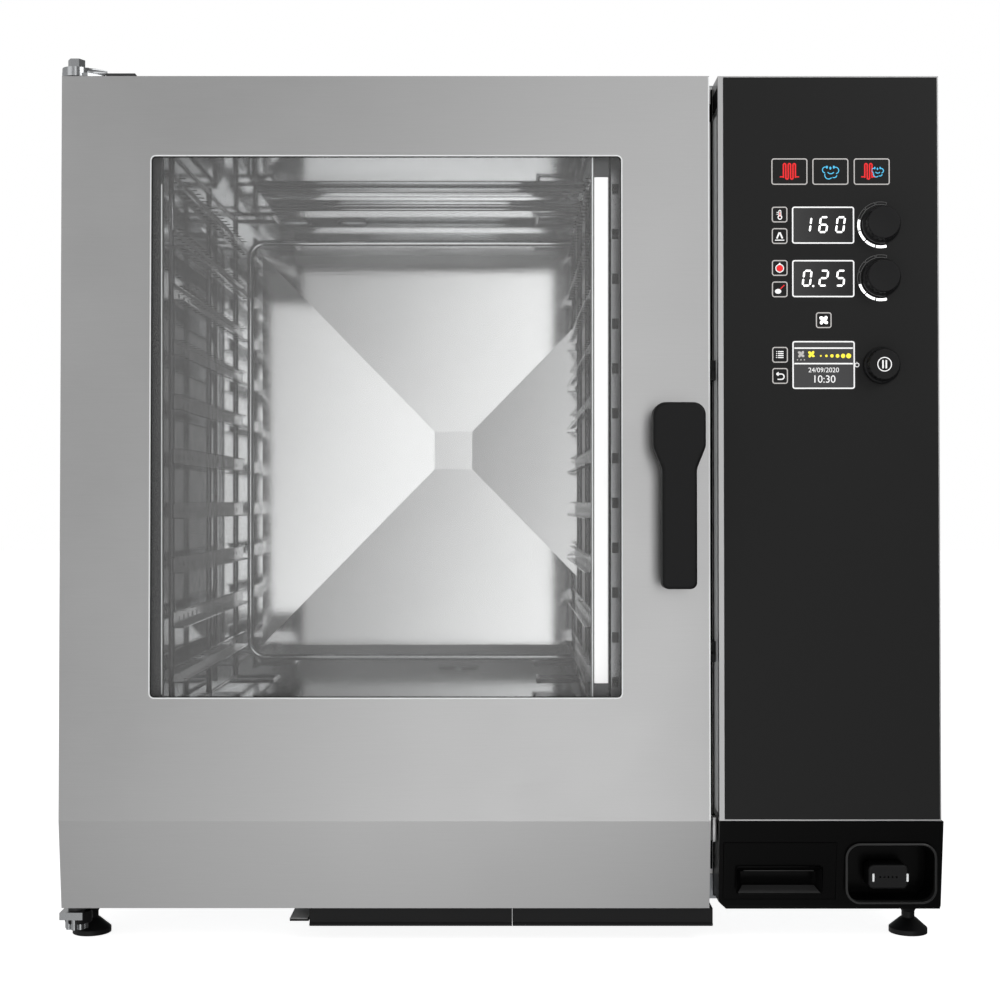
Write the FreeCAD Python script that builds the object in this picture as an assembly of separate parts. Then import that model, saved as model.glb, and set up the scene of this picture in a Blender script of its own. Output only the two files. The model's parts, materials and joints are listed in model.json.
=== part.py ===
"""Combi steamer oven, ten tray levels: every separate piece as its own STEP file.

Frame: +X to the right of someone facing the oven, +Y towards its back, +Z up, origin under the
middle of the whole oven at floor level. Sizes are millimetres.

Depths (the arguments named depth, d0, d1) are counted backwards from the fold line of the door,
which is the foremost line of the casing. The front above the fold leans back and so does the
plinth below it, so pieces on the leaning front are made upright and then leaned by lean().
"""

import FreeCAD
import Part
import math
import os

V = FreeCAD.Vector

# ---------------------------------------------------------------- overall sizes
CASING_WIDTH = 1064.0
BODY_DEPTH = 825.0
UNDERSIDE_Z = 43.0
CASING_TOP_Z = 1053.0
FOLD_Z = 151.0
TOP_SETBACK = 15.0
PLINTH_SETBACK = 13.0
SHEET = 1.5
SEAT_GAP = 0.3
FIT = 0.05
HANDLE_REACH = 58.0
REAR_REACH = 40.0
HINGE_REACH_X = 3.0

# ---------------------------------------------------------------- door
COLUMN_WIDTH = 267.5
DOOR_GAP = 10.5
SKIN_DEPTH = 50.0
FRAME_FRONT = 60.0
FRAME_SHEET = 2.0
WINDOW_MARGIN_LEFT = 108.5
WINDOW_MARGIN_RIGHT = 106.4
WINDOW_DROP = 97.0
WINDOW_BOTTOM_Z = 299.0
WINDOW_CORNER = 6.0
GLASS = 5.0
GLASS_LAP = 14.0
INNER_GLASS_DEPTH = 44.5
HINGE_INSET = 14.0
HINGE_DEPTH = 30.0
HINGE_PIN_R = 6.0
FRAME_WALL = 1.2
LIGHT_INSET = 35.6
LIGHT_WIDTH = 24.0
LENS_WIDTH = 17.0
LIGHT_HEIGHT = 14.0

# ---------------------------------------------------------------- handle and latch
HANDLE_INSET = 43.0
HANDLE_Z = 618.0
HUB_WIDTH = 62.0
GRIP_WIDTH = 41.0
HUB_TOP_RISE = 34.4
HUB_DROP = 18.0
TAPER_DROP = 44.0
GRIP_DROP = 185.5
GRIP_THICK = 24.0
SPINDLE_R = 8.0
CLAW_REACH = 38.0
CLAW_THICK = 4.0

# ---------------------------------------------------------------- cooking chamber and racks
CHAMBER_LEFT_INSET = 92.0
CHAMBER_RIGHT_OVERLAP = 20.5
CHAMBER_FLOOR_Z = 226.0
CHAMBER_CEILING_DROP = 38.0
CHAMBER_BACK_MARGIN = 97.0
PYRAMID_RISE = 14.0
PYRAMID_FLAT = 63.0
INSULATION = 40.0
INSULATION_SIDE = 30.0
RAIL_PITCH = 70.0
RAIL_COUNT = 10
RAIL_TOP_DROP = 98.0
RAIL_HEIGHT = 21.0
RAIL_LEDGE = 15.0
RAIL_LIP = 5.0
RAIL_WALL = 1.5
RAIL_FRONT_DEPTH = 122.0
RAIL_END_MARGIN = 60.0
RACK_STANDOFF = 20.0
WEB_SPACING = 544.0
POST_R = 4.0
ROD_R = 3.5
HOOK_R = 3.0
POST_BITE = 0.5
RACK_FOOT_REACH = 64.0
RACK_FOOT_LENGTH = 64.0
POST_END_MARGIN = 41.0
POST_FRONT_MARGIN = 12.0
RACK_FOOT_RISE = 30.0
STUD_R = 5.0
STUD_RISE = 52.0
DEFLECTOR_GAP = 12.0

# ---------------------------------------------------------------- fans and heaters
FAN_R = 140.0
FAN_WIDTH = 60.0
FAN_BLADES = 12
FAN_MIDDLE_RISE = 394.0
FAN_DEPTH = 400.0
FAN_SHAFT_R = 10.0
HEATER_CLEARANCE = 26.0
HEATER_TUBE_R = 4.0
HEATER_APART = 50.0
HEATER_TURNS = 3
HEATER_PITCH = 16.0
MOTOR_R = 72.0
MOTOR_LENGTH = 140.0

# ---------------------------------------------------------------- control column
FASCIA_THICK = 4.0
FASCIA_LEFT_INSET = 6.5
FASCIA_RIGHT_INSET = 1.7
BUTTON_TRAVEL = 0.6
BUTTON_PROUD = 0.4
BUTTON_DEPTH = 8.0
BUTTON_GAP = 0.35
MODE_BUTTON = (43.7, 32.0)
SMALL_BUTTON = (19.0, 19.0)
KNOB_R = 23.0
MENU_KNOB_R = 22.0
KNOB_HEIGHT = 16.0
KNOB_FACE = 3.0
KNOB_LIFT = 2.0
KNOB_SHAFT_R = 3.0
KNOB_COLUMN = 196.9
BOARD_DEPTH = 14.0
BOARD_THICK = 1.6

# name, offset from the column's left edge, drop below the casing top, (width, height)
BUTTONS = [
    ("button_convection", 86.5, 116.4, MODE_BUTTON),
    ("button_steam", 136.2, 116.4, MODE_BUTTON),
    ("button_combi", 186.3, 116.4, MODE_BUTTON),
    ("button_temperature", 74.4, 168.7, SMALL_BUTTON),
    ("button_preheat", 74.4, 194.8, SMALL_BUTTON),
    ("button_timer", 74.4, 233.6, SMALL_BUTTON),
    ("button_probe", 74.4, 259.6, SMALL_BUTTON),
    ("button_fan", 127.5, 297.0, SMALL_BUTTON),
    ("button_menu", 74.5, 339.0, SMALL_BUTTON),
    ("button_back", 74.5, 364.6, SMALL_BUTTON),
]
# offset of the left edge, drop of the top edge, width, height
DISPLAYS = [
    (89.5, 159.0, 75.4, 45.0),
    (89.5, 224.0, 75.4, 45.0),
    (89.5, 322.3, 75.6, 58.0),
]
# name, drop below the casing top
KNOBS = [("knob_temperature", 181.4), ("knob_time", 245.7)]
MENU_KNOB_DROP = 352.3
MENU_TRAVEL = 1.0

# ---------------------------------------------------------------- lower box
BOX_BOTTOM_Z = 41.0
BOX_BACK_DEPTH = 58.0
DRAWER_LEFT = 6.0
DRAWER_WIDTH = 136.0
DRAWER_BOTTOM_Z = 50.0
DRAWER_HEIGHT = 74.0
DRAWER_LENGTH = 250.0
DRAWER_WALL = 2.0
PULL_WIDTH = 105.0
PULL_BOTTOM_Z = 62.0
PULL_HEIGHT = 33.0
PULL_DEPTH = 24.0
RECESS_LEFT = 154.5
RECESS_WIDTH = 106.0
RECESS_BOTTOM_Z = 53.0
RECESS_HEIGHT = 69.0
RECESS_DEPTH = 50.0
RECESS_CORNER = 16.0
GUN_WIDTH = 49.0
GUN_HEIGHT = 30.0
GUN_Z = 80.0
GUN_HOSE_R = 8.0
GUN_TRAVEL = 120.0

# ---------------------------------------------------------------- feet, hinges, services
FOOT_INSET_X = 23.0
FOOT_FRONT_DEPTH = 68.0
FOOT_REAR_MARGIN = 70.0
FOOT_R = 23.6
FOOT_STEM_R = 6.0
HINGE_HEAD_R = 17.0
HINGE_HEAD_TOP_Z = 1076.0
ARM_THICK = 4.0
PLATE_BOTTOM_Z = 28.0
PLATE_THICK = 9.0
DRAIN_R = 25.0
DRAIN_WALL = 2.0
DRAIN_Z = 100.0
INLET_R = 13.2
VENT_R = 25.0
GLAND_BORE_R = 9.0
SCREW_HEAD_R = 4.5
SCREW_SHANK_R = 2.0
SCREW_HEAD_HEIGHT = 1.8

# ---------------------------------------------------------------- places worked out from the sizes
HALF = CASING_WIDTH / 2
SLOPE = TOP_SETBACK / (CASING_TOP_Z - FOLD_Z)
LEAN = math.degrees(math.atan(SLOPE))
GRIP_SETBACK = (HANDLE_Z - GRIP_DROP - FOLD_Z) * SLOPE
FRONT_Y = -(BODY_DEPTH + REAR_REACH - HANDLE_REACH + GRIP_SETBACK) / 2
COLUMN_LEFT = HALF - COLUMN_WIDTH
DOOR_LEFT = -HALF
DOOR_RIGHT = COLUMN_LEFT - DOOR_GAP
WINDOW_LEFT = DOOR_LEFT + WINDOW_MARGIN_LEFT
WINDOW_RIGHT = DOOR_RIGHT - WINDOW_MARGIN_RIGHT
WINDOW_TOP_Z = CASING_TOP_Z - WINDOW_DROP
CHAMBER_LEFT = DOOR_LEFT + CHAMBER_LEFT_INSET
CHAMBER_RIGHT = COLUMN_LEFT + CHAMBER_RIGHT_OVERLAP
CHAMBER_CEILING_Z = CASING_TOP_Z - CHAMBER_CEILING_DROP
CHAMBER_BACK = BODY_DEPTH - CHAMBER_BACK_MARGIN
LINER_FRONT = FRAME_FRONT + FRAME_SHEET
WEB_LEFT = CHAMBER_LEFT + RACK_STANDOFF
WEB_RIGHT = WEB_LEFT + WEB_SPACING
DEFLECTOR_X = WEB_RIGHT + DEFLECTOR_GAP
OPENING_LEFT = CHAMBER_LEFT + 4.0
OPENING_RIGHT = DEFLECTOR_X + 20.0
OPENING_BOTTOM_Z = CHAMBER_FLOOR_Z + 6.0
OPENING_TOP_Z = CHAMBER_CEILING_Z - 15.0
RAIL_BACK_DEPTH = CHAMBER_BACK - RAIL_END_MARGIN
HINGE_X = DOOR_LEFT + HINGE_INSET
HANDLE_X = DOOR_RIGHT - HANDLE_INSET
HEATER_R = FAN_R + HEATER_CLEARANCE
FAN_SPACING = 2 * (HEATER_R + HEATER_TUBE_R) + HEATER_APART
FAN_MIDDLE_Z = CHAMBER_FLOOR_Z + FAN_MIDDLE_RISE
FAN_ZS = [FAN_MIDDLE_Z - FAN_SPACING / 2, FAN_MIDDLE_Z + FAN_SPACING / 2]
FEET = [(side * (HALF - FOOT_INSET_X), depth) for side in (-1, 1)
        for depth in (FOOT_FRONT_DEPTH, BODY_DEPTH - FOOT_REAR_MARGIN)]
DRAIN_X = (CHAMBER_LEFT + CHAMBER_RIGHT) / 2
DRAIN_DEPTH = (LINER_FRONT + CHAMBER_BACK) / 2
VENTS = [(CHAMBER_LEFT + 90.0, CHAMBER_BACK - 60.0), (CHAMBER_LEFT + 190.0, CHAMBER_BACK - 60.0)]
INLETS = [(COLUMN_LEFT + 130.0, 120.0), (COLUMN_LEFT + 190.0, 120.0)]
GLAND = (COLUMN_LEFT + 60.0, 120.0)
NOZZLE = (FAN_DEPTH, FAN_MIDDLE_Z)
LIGHT_X = WINDOW_RIGHT - LIGHT_INSET
LIGHT_FRONT = INNER_GLASS_DEPTH - LIGHT_HEIGHT
FAN_WALL_X = CHAMBER_RIGHT + SHEET + INSULATION_SIDE + 2 * SEAT_GAP
STUDS = [(depth, z) for z in (CHAMBER_FLOOR_Z + STUD_RISE, CHAMBER_CEILING_Z - STUD_RISE)
         for depth in (RAIL_FRONT_DEPTH + 30.0, RAIL_BACK_DEPTH - POST_END_MARGIN)]
SIDE_SCREWS = [(depth, z) for depth in (FRAME_FRONT + 18.0, BODY_DEPTH - 18.0)
               for z in (UNDERSIDE_Z + 40.0, (UNDERSIDE_Z + CASING_TOP_Z) / 2, CASING_TOP_Z - 40.0)]
REAR_SCREWS = [(x, z) for x in (-HALF + 30.0, 0.0, HALF - 30.0)
               for z in (UNDERSIDE_Z + 45.0, CASING_TOP_Z - 25.0)]


# ---------------------------------------------------------------- shape helpers
def y_at(depth):
    """Y of a depth counted back from the door's fold line."""
    return FRONT_Y + depth


def box(x0, x1, d0, d1, z0, z1):
    """Block between two corners, given in X, depth and Z."""
    return Part.makeBox(x1 - x0, d1 - d0, z1 - z0, V(x0, y_at(d0), z0))


def rod(radius, start, end):
    """Round bar between two (x, depth, z) points."""
    a = V(start[0], y_at(start[1]), start[2])
    b = V(end[0], y_at(end[1]), end[2])
    return Part.makeCylinder(radius, (b - a).Length, a, b - a)


def tube(outer, inner, start, end):
    """Round pipe between two (x, depth, z) points."""
    return rod(outer, start, end).cut(rod(inner, start, end))


def plate(x0, x1, z0, z1, d0, d1, corner):
    """Upright plate with rounded corners, thick along Y."""
    pts = [(x0, z0), (x1, z0), (x1, z1), (x0, z1)]
    return rounded_prism(pts, corner, d0, d1)


def rounded_prism(points, corner, d0, d1):
    """Outline in X and Z with every corner rounded, run from depth d0 to d1."""
    y = y_at(d0)
    edges = []
    starts = []
    ends = []
    count = len(points)
    for i in range(count):
        radius = corner[i] if isinstance(corner, (list, tuple)) else corner
        before = V(points[i - 1][0], y, points[i - 1][1])
        here = V(points[i][0], y, points[i][1])
        after = V(points[(i + 1) % count][0], y, points[(i + 1) % count][1])
        to_before = (before - here).normalize()
        to_after = (after - here).normalize()
        half = to_before.getAngle(to_after) / 2
        back = radius / math.tan(half)
        middle = here + (to_before + to_after).normalize() * (radius / math.sin(half) - radius)
        starts.append(here + to_before * back)
        ends.append(here + to_after * back)
        edges.append(Part.Arc(starts[-1], middle, ends[-1]).toShape())
    outline = []
    for i in range(count):
        outline.append(edges[i])
        outline.append(Part.makeLine(ends[i], starts[(i + 1) % count]))
    return Part.Face(Part.Wire(outline)).extrude(V(0, d1 - d0, 0))


def profile_x(points, x0, x1):
    """Outline in depth and Z, run along X."""
    corners = [V(x0, y_at(d), z) for d, z in points]
    return Part.Face(Part.makePolygon(corners + corners[:1])).extrude(V(x1 - x0, 0, 0))


def profile_z(points, z0, z1):
    """Outline in X and depth, run upwards."""
    corners = [V(x, y_at(d), z0) for x, d in points]
    return Part.Face(Part.makePolygon(corners + corners[:1])).extrude(V(0, 0, z1 - z0))


def lean(shape):
    """Turn an upright piece about the fold line so that it lies on the leaning front."""
    shape.rotate(V(0, FRONT_Y, FOLD_Z), V(1, 0, 0), -LEAN)
    return shape


def lean_depth(z):
    """How far the leaning front lies behind the fold line at a height."""
    return (z - FOLD_Z) * SLOPE


def fuse(shapes):
    """One solid from several that share faces or volume."""
    return shapes[0].multiFuse(shapes[1:]).removeSplitter()


def cut(shape, tools):
    """A shape with several others taken out of it."""
    return shape.cut(Part.makeCompound(tools))


def hexagon(across, start, end):
    """Hexagonal nut or head between two (x, depth, z) points along one axis."""
    a = V(start[0], y_at(start[1]), start[2])
    b = V(end[0], y_at(end[1]), end[2])
    axis = (b - a).normalize()
    side = V(0, 0, 1) if abs(axis.z) < 0.5 else V(1, 0, 0)
    other = axis.cross(side)
    radius = across / math.sqrt(3)
    turns = [math.radians(60 * i) for i in range(6)]
    corners = [a + side * (radius * math.cos(t)) + other * (radius * math.sin(t)) for t in turns]
    length = (V(end[0], y_at(end[1]), end[2]) - a).Length
    return Part.Face(Part.makePolygon(corners + corners[:1])).extrude(axis * length)


# ---------------------------------------------------------------- casing
def base_chassis():
    """Bottom tray with upturned edges and a threaded boss for each foot."""
    x = HALF - SHEET - SEAT_GAP
    d0 = FRAME_FRONT
    d1 = BODY_DEPTH - SHEET
    tray = box(-x, x, d0, d1, UNDERSIDE_Z, UNDERSIDE_Z + 30.0)
    floor_z = UNDERSIDE_Z + SHEET
    tray = tray.cut(box(-x + SHEET, x - SHEET, d0 + SHEET, d1 - SHEET, floor_z, UNDERSIDE_Z + 31.0))
    drawer_x = COLUMN_LEFT + DRAWER_LEFT
    tray = tray.cut(box(COLUMN_LEFT, x - 2 * SHEET, d0 - 1, d0 + 2, floor_z + 2.0, UNDERSIDE_Z + 31.0))
    bosses = [rod(9.0, (fx, fd, UNDERSIDE_Z), (fx, fd, UNDERSIDE_Z + 14.0)) for fx, fd in FEET]
    bores = [rod(FOOT_STEM_R + FIT, (fx, fd, UNDERSIDE_Z - 1), (fx, fd, UNDERSIDE_Z + 20)) for fx, fd in FEET]
    runner = box(drawer_x, drawer_x + DRAWER_WIDTH, d0 + 2, DRAWER_LENGTH + 30.0,
                 floor_z, DRAWER_BOTTOM_Z + 4.0 - SEAT_GAP)
    return cut(fuse([tray, runner] + bosses), bores)


def side_panel(x0):
    """Flat side sheet with a row of screw holes near its front and back edges."""
    sheet = box(x0, x0 + SHEET, FRAME_FRONT, BODY_DEPTH, UNDERSIDE_Z, CASING_TOP_Z)
    holes = [rod(SCREW_SHANK_R + SEAT_GAP, (x0 - 1, d, z), (x0 + SHEET + 1, d, z)) for d, z in SIDE_SCREWS]
    return cut(sheet, holes)


def rear_panel():
    """Back sheet with louvre slots and openings for the water, drain and cable fittings."""
    x = HALF - SHEET - SEAT_GAP
    d1 = BODY_DEPTH
    sheet = box(-x, x, d1 - SHEET, d1, UNDERSIDE_Z, CASING_TOP_Z - SHEET - SEAT_GAP)
    tools = [rod(SCREW_SHANK_R + SEAT_GAP, (sx, d1 - 9, z), (sx, d1 + 9, z)) for sx, z in REAR_SCREWS]
    tools += [rod(INLET_R + 1.0, (ix, d1 - 9, iz), (ix, d1 + 9, iz)) for ix, iz in INLETS]
    tools.append(rod(GLAND_BORE_R + 4.5, (GLAND[0], d1 - 9, GLAND[1]), (GLAND[0], d1 + 9, GLAND[1])))
    tools.append(rod(DRAIN_R + 1.0, (DRAIN_X, d1 - 9, DRAIN_Z), (DRAIN_X, d1 + 9, DRAIN_Z)))
    for row in range(14):
        z = CASING_TOP_Z - 200.0 - row * 22.0
        for x0 in (COLUMN_LEFT + 40.0, COLUMN_LEFT + 145.0):
            tools.append(plate(x0, x0 + 85.0, z, z + 7.0, d1 - 9, d1 + 9, 3.0))
    return cut(sheet, tools)


def top_cover():
    """Roof sheet with the two openings of the vents."""
    x = HALF - SHEET - SEAT_GAP
    sheet = box(-x, x, FRAME_FRONT, BODY_DEPTH - SEAT_GAP, CASING_TOP_Z - SHEET, CASING_TOP_Z)
    return cut(sheet, [rod(VENT_R + 1.0, (vx, vd, 900), (vx, vd, 1300)) for vx, vd in VENTS])


def front_frame():
    """Front sheet of the casing round the mouth of the chamber."""
    x0 = DOOR_LEFT + SHEET + SEAT_GAP
    sheet = box(x0, COLUMN_LEFT - SEAT_GAP, FRAME_FRONT, FRAME_FRONT + FRAME_SHEET,
                UNDERSIDE_Z + 31.0, CASING_TOP_Z - SHEET - SEAT_GAP)
    mouth = plate(OPENING_LEFT, OPENING_RIGHT, OPENING_BOTTOM_Z, OPENING_TOP_Z,
                  FRAME_FRONT - 1, FRAME_FRONT + 5, 16.0)
    return sheet.cut(mouth)


# ---------------------------------------------------------------- chamber
def cavity_liner():
    """Five-sided welded chamber without its back wall; the right part houses the fans."""
    x0, x1 = CHAMBER_LEFT, CHAMBER_RIGHT
    z0, z1 = CHAMBER_FLOOR_Z, CHAMBER_CEILING_Z
    outer = box(x0 - SHEET, x1 + SHEET, LINER_FRONT, CHAMBER_BACK, z0 - SHEET, z1 + SHEET)
    walls = outer.cut(box(x0, x1, LINER_FRONT - 1, CHAMBER_BACK + 1, z0, z1))
    tools = [rod(DRAIN_R - DRAIN_WALL, (DRAIN_X, DRAIN_DEPTH, z0 - 9), (DRAIN_X, DRAIN_DEPTH, z0 + 9))]
    tools += [rod(FAN_SHAFT_R + 1.0, (x1 - 9, FAN_DEPTH, z), (x1 + 9, FAN_DEPTH, z)) for z in FAN_ZS]
    tools += [rod(VENT_R - 1.5, (vx, vd, z1 - 9), (vx, vd, z1 + 9)) for vx, vd in VENTS]
    tools.append(rod(5.0 + SEAT_GAP, (x1 - 9, NOZZLE[0], NOZZLE[1]), (x1 + 9, NOZZLE[0], NOZZLE[1])))
    studs = [rod(STUD_R, (x0 - SHEET / 2, d, z), (WEB_LEFT - 2 * POST_R, d, z)) for d, z in STUDS]
    return cut(walls, tools).multiFuse(studs)


def cavity_back_wall():
    """Back wall pressed into a shallow four-sided pyramid with a small flat square on top."""
    x0, x1 = CHAMBER_LEFT - SHEET, CHAMBER_RIGHT + SHEET
    z0, z1 = CHAMBER_FLOOR_Z - SHEET, CHAMBER_CEILING_Z + SHEET
    d0 = CHAMBER_BACK
    wall = box(x0, x1, d0, d0 + SHEET, z0, z1)
    rim = (CHAMBER_LEFT + 24.0, CHAMBER_RIGHT - 25.0, CHAMBER_FLOOR_Z + 51.0, CHAMBER_CEILING_Z - 48.0)
    pocket = pyramid(rim, d0 - 1.0, PYRAMID_RISE + 1.0, 0.0)
    shell = pyramid(rim, d0, PYRAMID_RISE + SHEET, SHEET)
    return wall.fuse(shell).cut(pocket)


def pyramid(rim, depth, rise, grow):
    """Frustum from a rectangle in X and Z to the small square behind it."""
    x0, x1, z0, z1 = rim
    middle_x = (x0 + x1) / 2
    middle_z = (z0 + z1) / 2
    half = PYRAMID_FLAT / 2 + grow
    big = [(x0 - grow, z0 - grow), (x1 + grow, z0 - grow), (x1 + grow, z1 + grow), (x0 - grow, z1 + grow)]
    small = [(middle_x - half, middle_z - half), (middle_x + half, middle_z - half),
             (middle_x + half, middle_z + half), (middle_x - half, middle_z + half)]
    wires = []
    for outline, d in ((big, depth), (small, depth + rise)):
        corners = [V(x, y_at(d), z) for x, z in outline]
        wires.append(Part.makePolygon(corners + corners[:1]))
    return Part.makeLoft(wires, True, True)


def insulation():
    """Mineral wool jacket round the chamber, open in front."""
    z0, z1 = CHAMBER_FLOOR_Z - SHEET - SEAT_GAP, CHAMBER_CEILING_Z + SHEET + SEAT_GAP
    x0, x1 = CHAMBER_LEFT - SHEET - SEAT_GAP, CHAMBER_RIGHT + SHEET + SEAT_GAP
    back = CHAMBER_BACK + PYRAMID_RISE + 2 * SHEET + SEAT_GAP
    front = LINER_FRONT + SEAT_GAP
    jacket = box(x0 - INSULATION, x1 + INSULATION_SIDE, front, back + INSULATION, z0 - INSULATION,
                 z1 + INSULATION_SIDE)
    jacket = jacket.cut(box(x0, x1, front - 1, back, z0, z1))
    tools = [rod(DRAIN_R + 1.0, (DRAIN_X, DRAIN_DEPTH, z0 - 90), (DRAIN_X, DRAIN_DEPTH, z0 + 9))]
    tools += [rod(FAN_SHAFT_R + 6.0, (x1 - 9, FAN_DEPTH, z), (x1 + 90, FAN_DEPTH, z)) for z in FAN_ZS]
    tools += [rod(VENT_R + 1.0, (vx, vd, z1 - 9), (vx, vd, z1 + 90)) for vx, vd in VENTS]
    tools.append(rod(6.0, (x1 - 9, NOZZLE[0], NOZZLE[1]), (x1 + 90, NOZZLE[0], NOZZLE[1])))
    return cut(jacket, tools)


def drain_strainer():
    """Pressed strainer plate lying over the drain hole in the chamber floor."""
    z0 = CHAMBER_FLOOR_Z + SEAT_GAP
    disc = rod(DRAIN_R + 12.0, (DRAIN_X, DRAIN_DEPTH, z0), (DRAIN_X, DRAIN_DEPTH, z0 + 3.0))
    holes = []
    for ring, count in ((7.0, 6), (14.0, 12), (21.0, 18)):
        for i in range(count):
            turn = 2 * math.pi * i / count
            x = DRAIN_X + ring * math.cos(turn)
            d = DRAIN_DEPTH + ring * math.sin(turn)
            holes.append(rod(2.2, (x, d, z0 - 5), (x, d, z0 + 9)))
    return cut(disc, holes)


def door_gasket():
    """Silicone seal on the front frame round the mouth of the chamber."""
    x0, x1 = OPENING_LEFT - 4.0, OPENING_RIGHT + 4.0
    z0, z1 = OPENING_BOTTOM_Z - 4.0, OPENING_TOP_Z + 4.0
    front = SKIN_DEPTH + SHEET + SEAT_GAP
    ring = plate(x0 - 14.0, x1 + 14.0, z0 - 14.0, z1 + 14.0, front, FRAME_FRONT, 32.0)
    return ring.cut(plate(x0, x1, z0, z1, front - 1, FRAME_FRONT + 1, 18.0))


def rack(web_x, inward):
    """Tray rack: ten perforated C rails between bent rods with a U foot above and below."""
    d0, d1 = RAIL_FRONT_DEPTH, RAIL_BACK_DEPTH
    first_top = CASING_TOP_Z - RAIL_TOP_DROP
    rail = rail_section(web_x, inward, first_top, d0, d1)
    rails = []
    for level in range(RAIL_COUNT):
        copy = rail.copy()
        copy.translate(V(0, 0, -level * RAIL_PITCH))
        rails.append(copy)
    low = CHAMBER_FLOOR_Z + RACK_FOOT_RISE
    high = CHAMBER_CEILING_Z - RACK_FOOT_RISE
    post_x = web_x - inward * (POST_R - POST_BITE)
    far_x = web_x + inward * RACK_FOOT_REACH
    front, back = d0 + POST_FRONT_MARGIN, d1 - POST_END_MARGIN
    foot_front = back - RACK_FOOT_LENGTH
    posts = [rod(POST_R, (post_x, d, low - 2 * ROD_R), (post_x, d, high + 2 * ROD_R))
             for d in (front, (d0 + d1) / 2, back)]
    feet = []
    for z in (low, high):
        feet.append(rod(ROD_R, (post_x, front, z), (post_x, back, z)))
        feet.append(rod(ROD_R, (far_x, foot_front - ROD_R, z), (far_x, back + ROD_R, z)))
        for d in (foot_front, back):
            feet.append(rod(HOOK_R, (post_x, d, z), (far_x, d, z)))
    return rails[0].multiFuse(rails[1:] + posts + feet)


def rail_section(web_x, inward, top, d0, d1):
    """One C rail: web, tray ledge below and short lip above, with holes along web and ledge."""
    web_a, web_b = sorted((web_x, web_x + inward * RAIL_WALL))
    ledge_a, ledge_b = sorted((web_x, web_x + inward * RAIL_LEDGE))
    lip_a, lip_b = sorted((web_x, web_x + inward * RAIL_LIP))
    bottom = top - RAIL_HEIGHT
    parts = [box(web_a, web_b, d0, d1, bottom, top),
             box(ledge_a, ledge_b, d0, d1, bottom, bottom + RAIL_WALL),
             box(lip_a, lip_b, d0, d1, top - RAIL_WALL, top)]
    holes = []
    count = int((d1 - d0 - 40.0) // 30.0)
    for i in range(count):
        d = d0 + 20.0 + 30.0 * (i + 0.5)
        holes.append(box(web_a - 1, web_b + 1, d - 5, d + 5, bottom + 7.0, bottom + 13.0))
        mid = web_x + inward * (RAIL_LEDGE / 2 + 1.0)
        holes.append(box(mid - 3, mid + 3, d - 5, d + 5, bottom - 1, bottom + RAIL_WALL + 1))
    return cut(fuse(parts), holes)


def air_deflector():
    """Guide plate between trays and fans, with an intake before each fan and a slotted front edge."""
    x0 = DEFLECTOR_X
    z0, z1 = CHAMBER_FLOOR_Z + 12.0, CHAMBER_CEILING_Z - 12.0
    d0, d1 = LINER_FRONT + 8.0, CHAMBER_BACK - 12.0
    sheet = box(x0, x0 + SHEET, d0, d1, z0, z1)
    flange = box(x0, x0 + 16.0, d0, d0 + SHEET, z0, z1)
    hooks = []
    for z in (z0 + 6.0, z1 - 16.0):
        for d in (d0 + 20.0, d1 - 40.0):
            hooks.append(box(x0, CHAMBER_RIGHT - SEAT_GAP, d, d + 20.0, z, z + 10.0))
    tools = []
    for z in FAN_ZS:
        for i in range(16):
            tools.append(intake_slot(x0, z, 22.5 * i))
    slot_pitch = RAIL_PITCH * 0.8
    for i in range(int((z1 - z0 - 80.0) // slot_pitch)):
        z = z1 - 70.0 - slot_pitch * i
        tools.append(box(x0 + 4.0, x0 + 12.0, d0 - 1, d0 + SHEET + 1, z - 13.0, z))
    studs = [rod(STUD_R, (WEB_RIGHT + 2 * POST_R, d, z), (x0 + SHEET / 2, d, z)) for d, z in STUDS]
    return cut(fuse([sheet, flange] + hooks), tools).multiFuse(studs)


def intake_slot(x0, z, turn):
    """One radial slot of the round intake in front of a fan."""
    slot = box(x0 - 2, x0 + SHEET + 2, FAN_DEPTH - 6.0, FAN_DEPTH + 6.0, z + 40.0, z + 110.0)
    slot.rotate(V(x0, y_at(FAN_DEPTH), z), V(1, 0, 0), turn)
    return slot


def heater_coils():
    """Round electric heating element about each fan, with two straight ends through the wall."""
    coils = []
    first_x = CHAMBER_RIGHT - 24.0
    for z in FAN_ZS:
        rings = []
        for turn in range(HEATER_TURNS):
            x = first_x - HEATER_PITCH * turn
            rings.append(Part.makeTorus(HEATER_R, HEATER_TUBE_R, V(x, y_at(FAN_DEPTH), z), V(1, 0, 0)))
        last_x = first_x - HEATER_PITCH * (HEATER_TURNS - 1)
        for turn in (math.radians(37.0), math.radians(143.0)):
            d = FAN_DEPTH + (HEATER_R - 2.0) * math.cos(turn)
            end_z = z + (HEATER_R - 2.0) * math.sin(turn)
            wall_x = CHAMBER_RIGHT - SEAT_GAP
            rings.append(rod(HEATER_TUBE_R + 1.0, (last_x - 1.0, d, end_z), (wall_x, d, end_z)))
        coils.append(rings[0].multiFuse(rings[1:]))
    return Part.makeCompound(coils)


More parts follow.
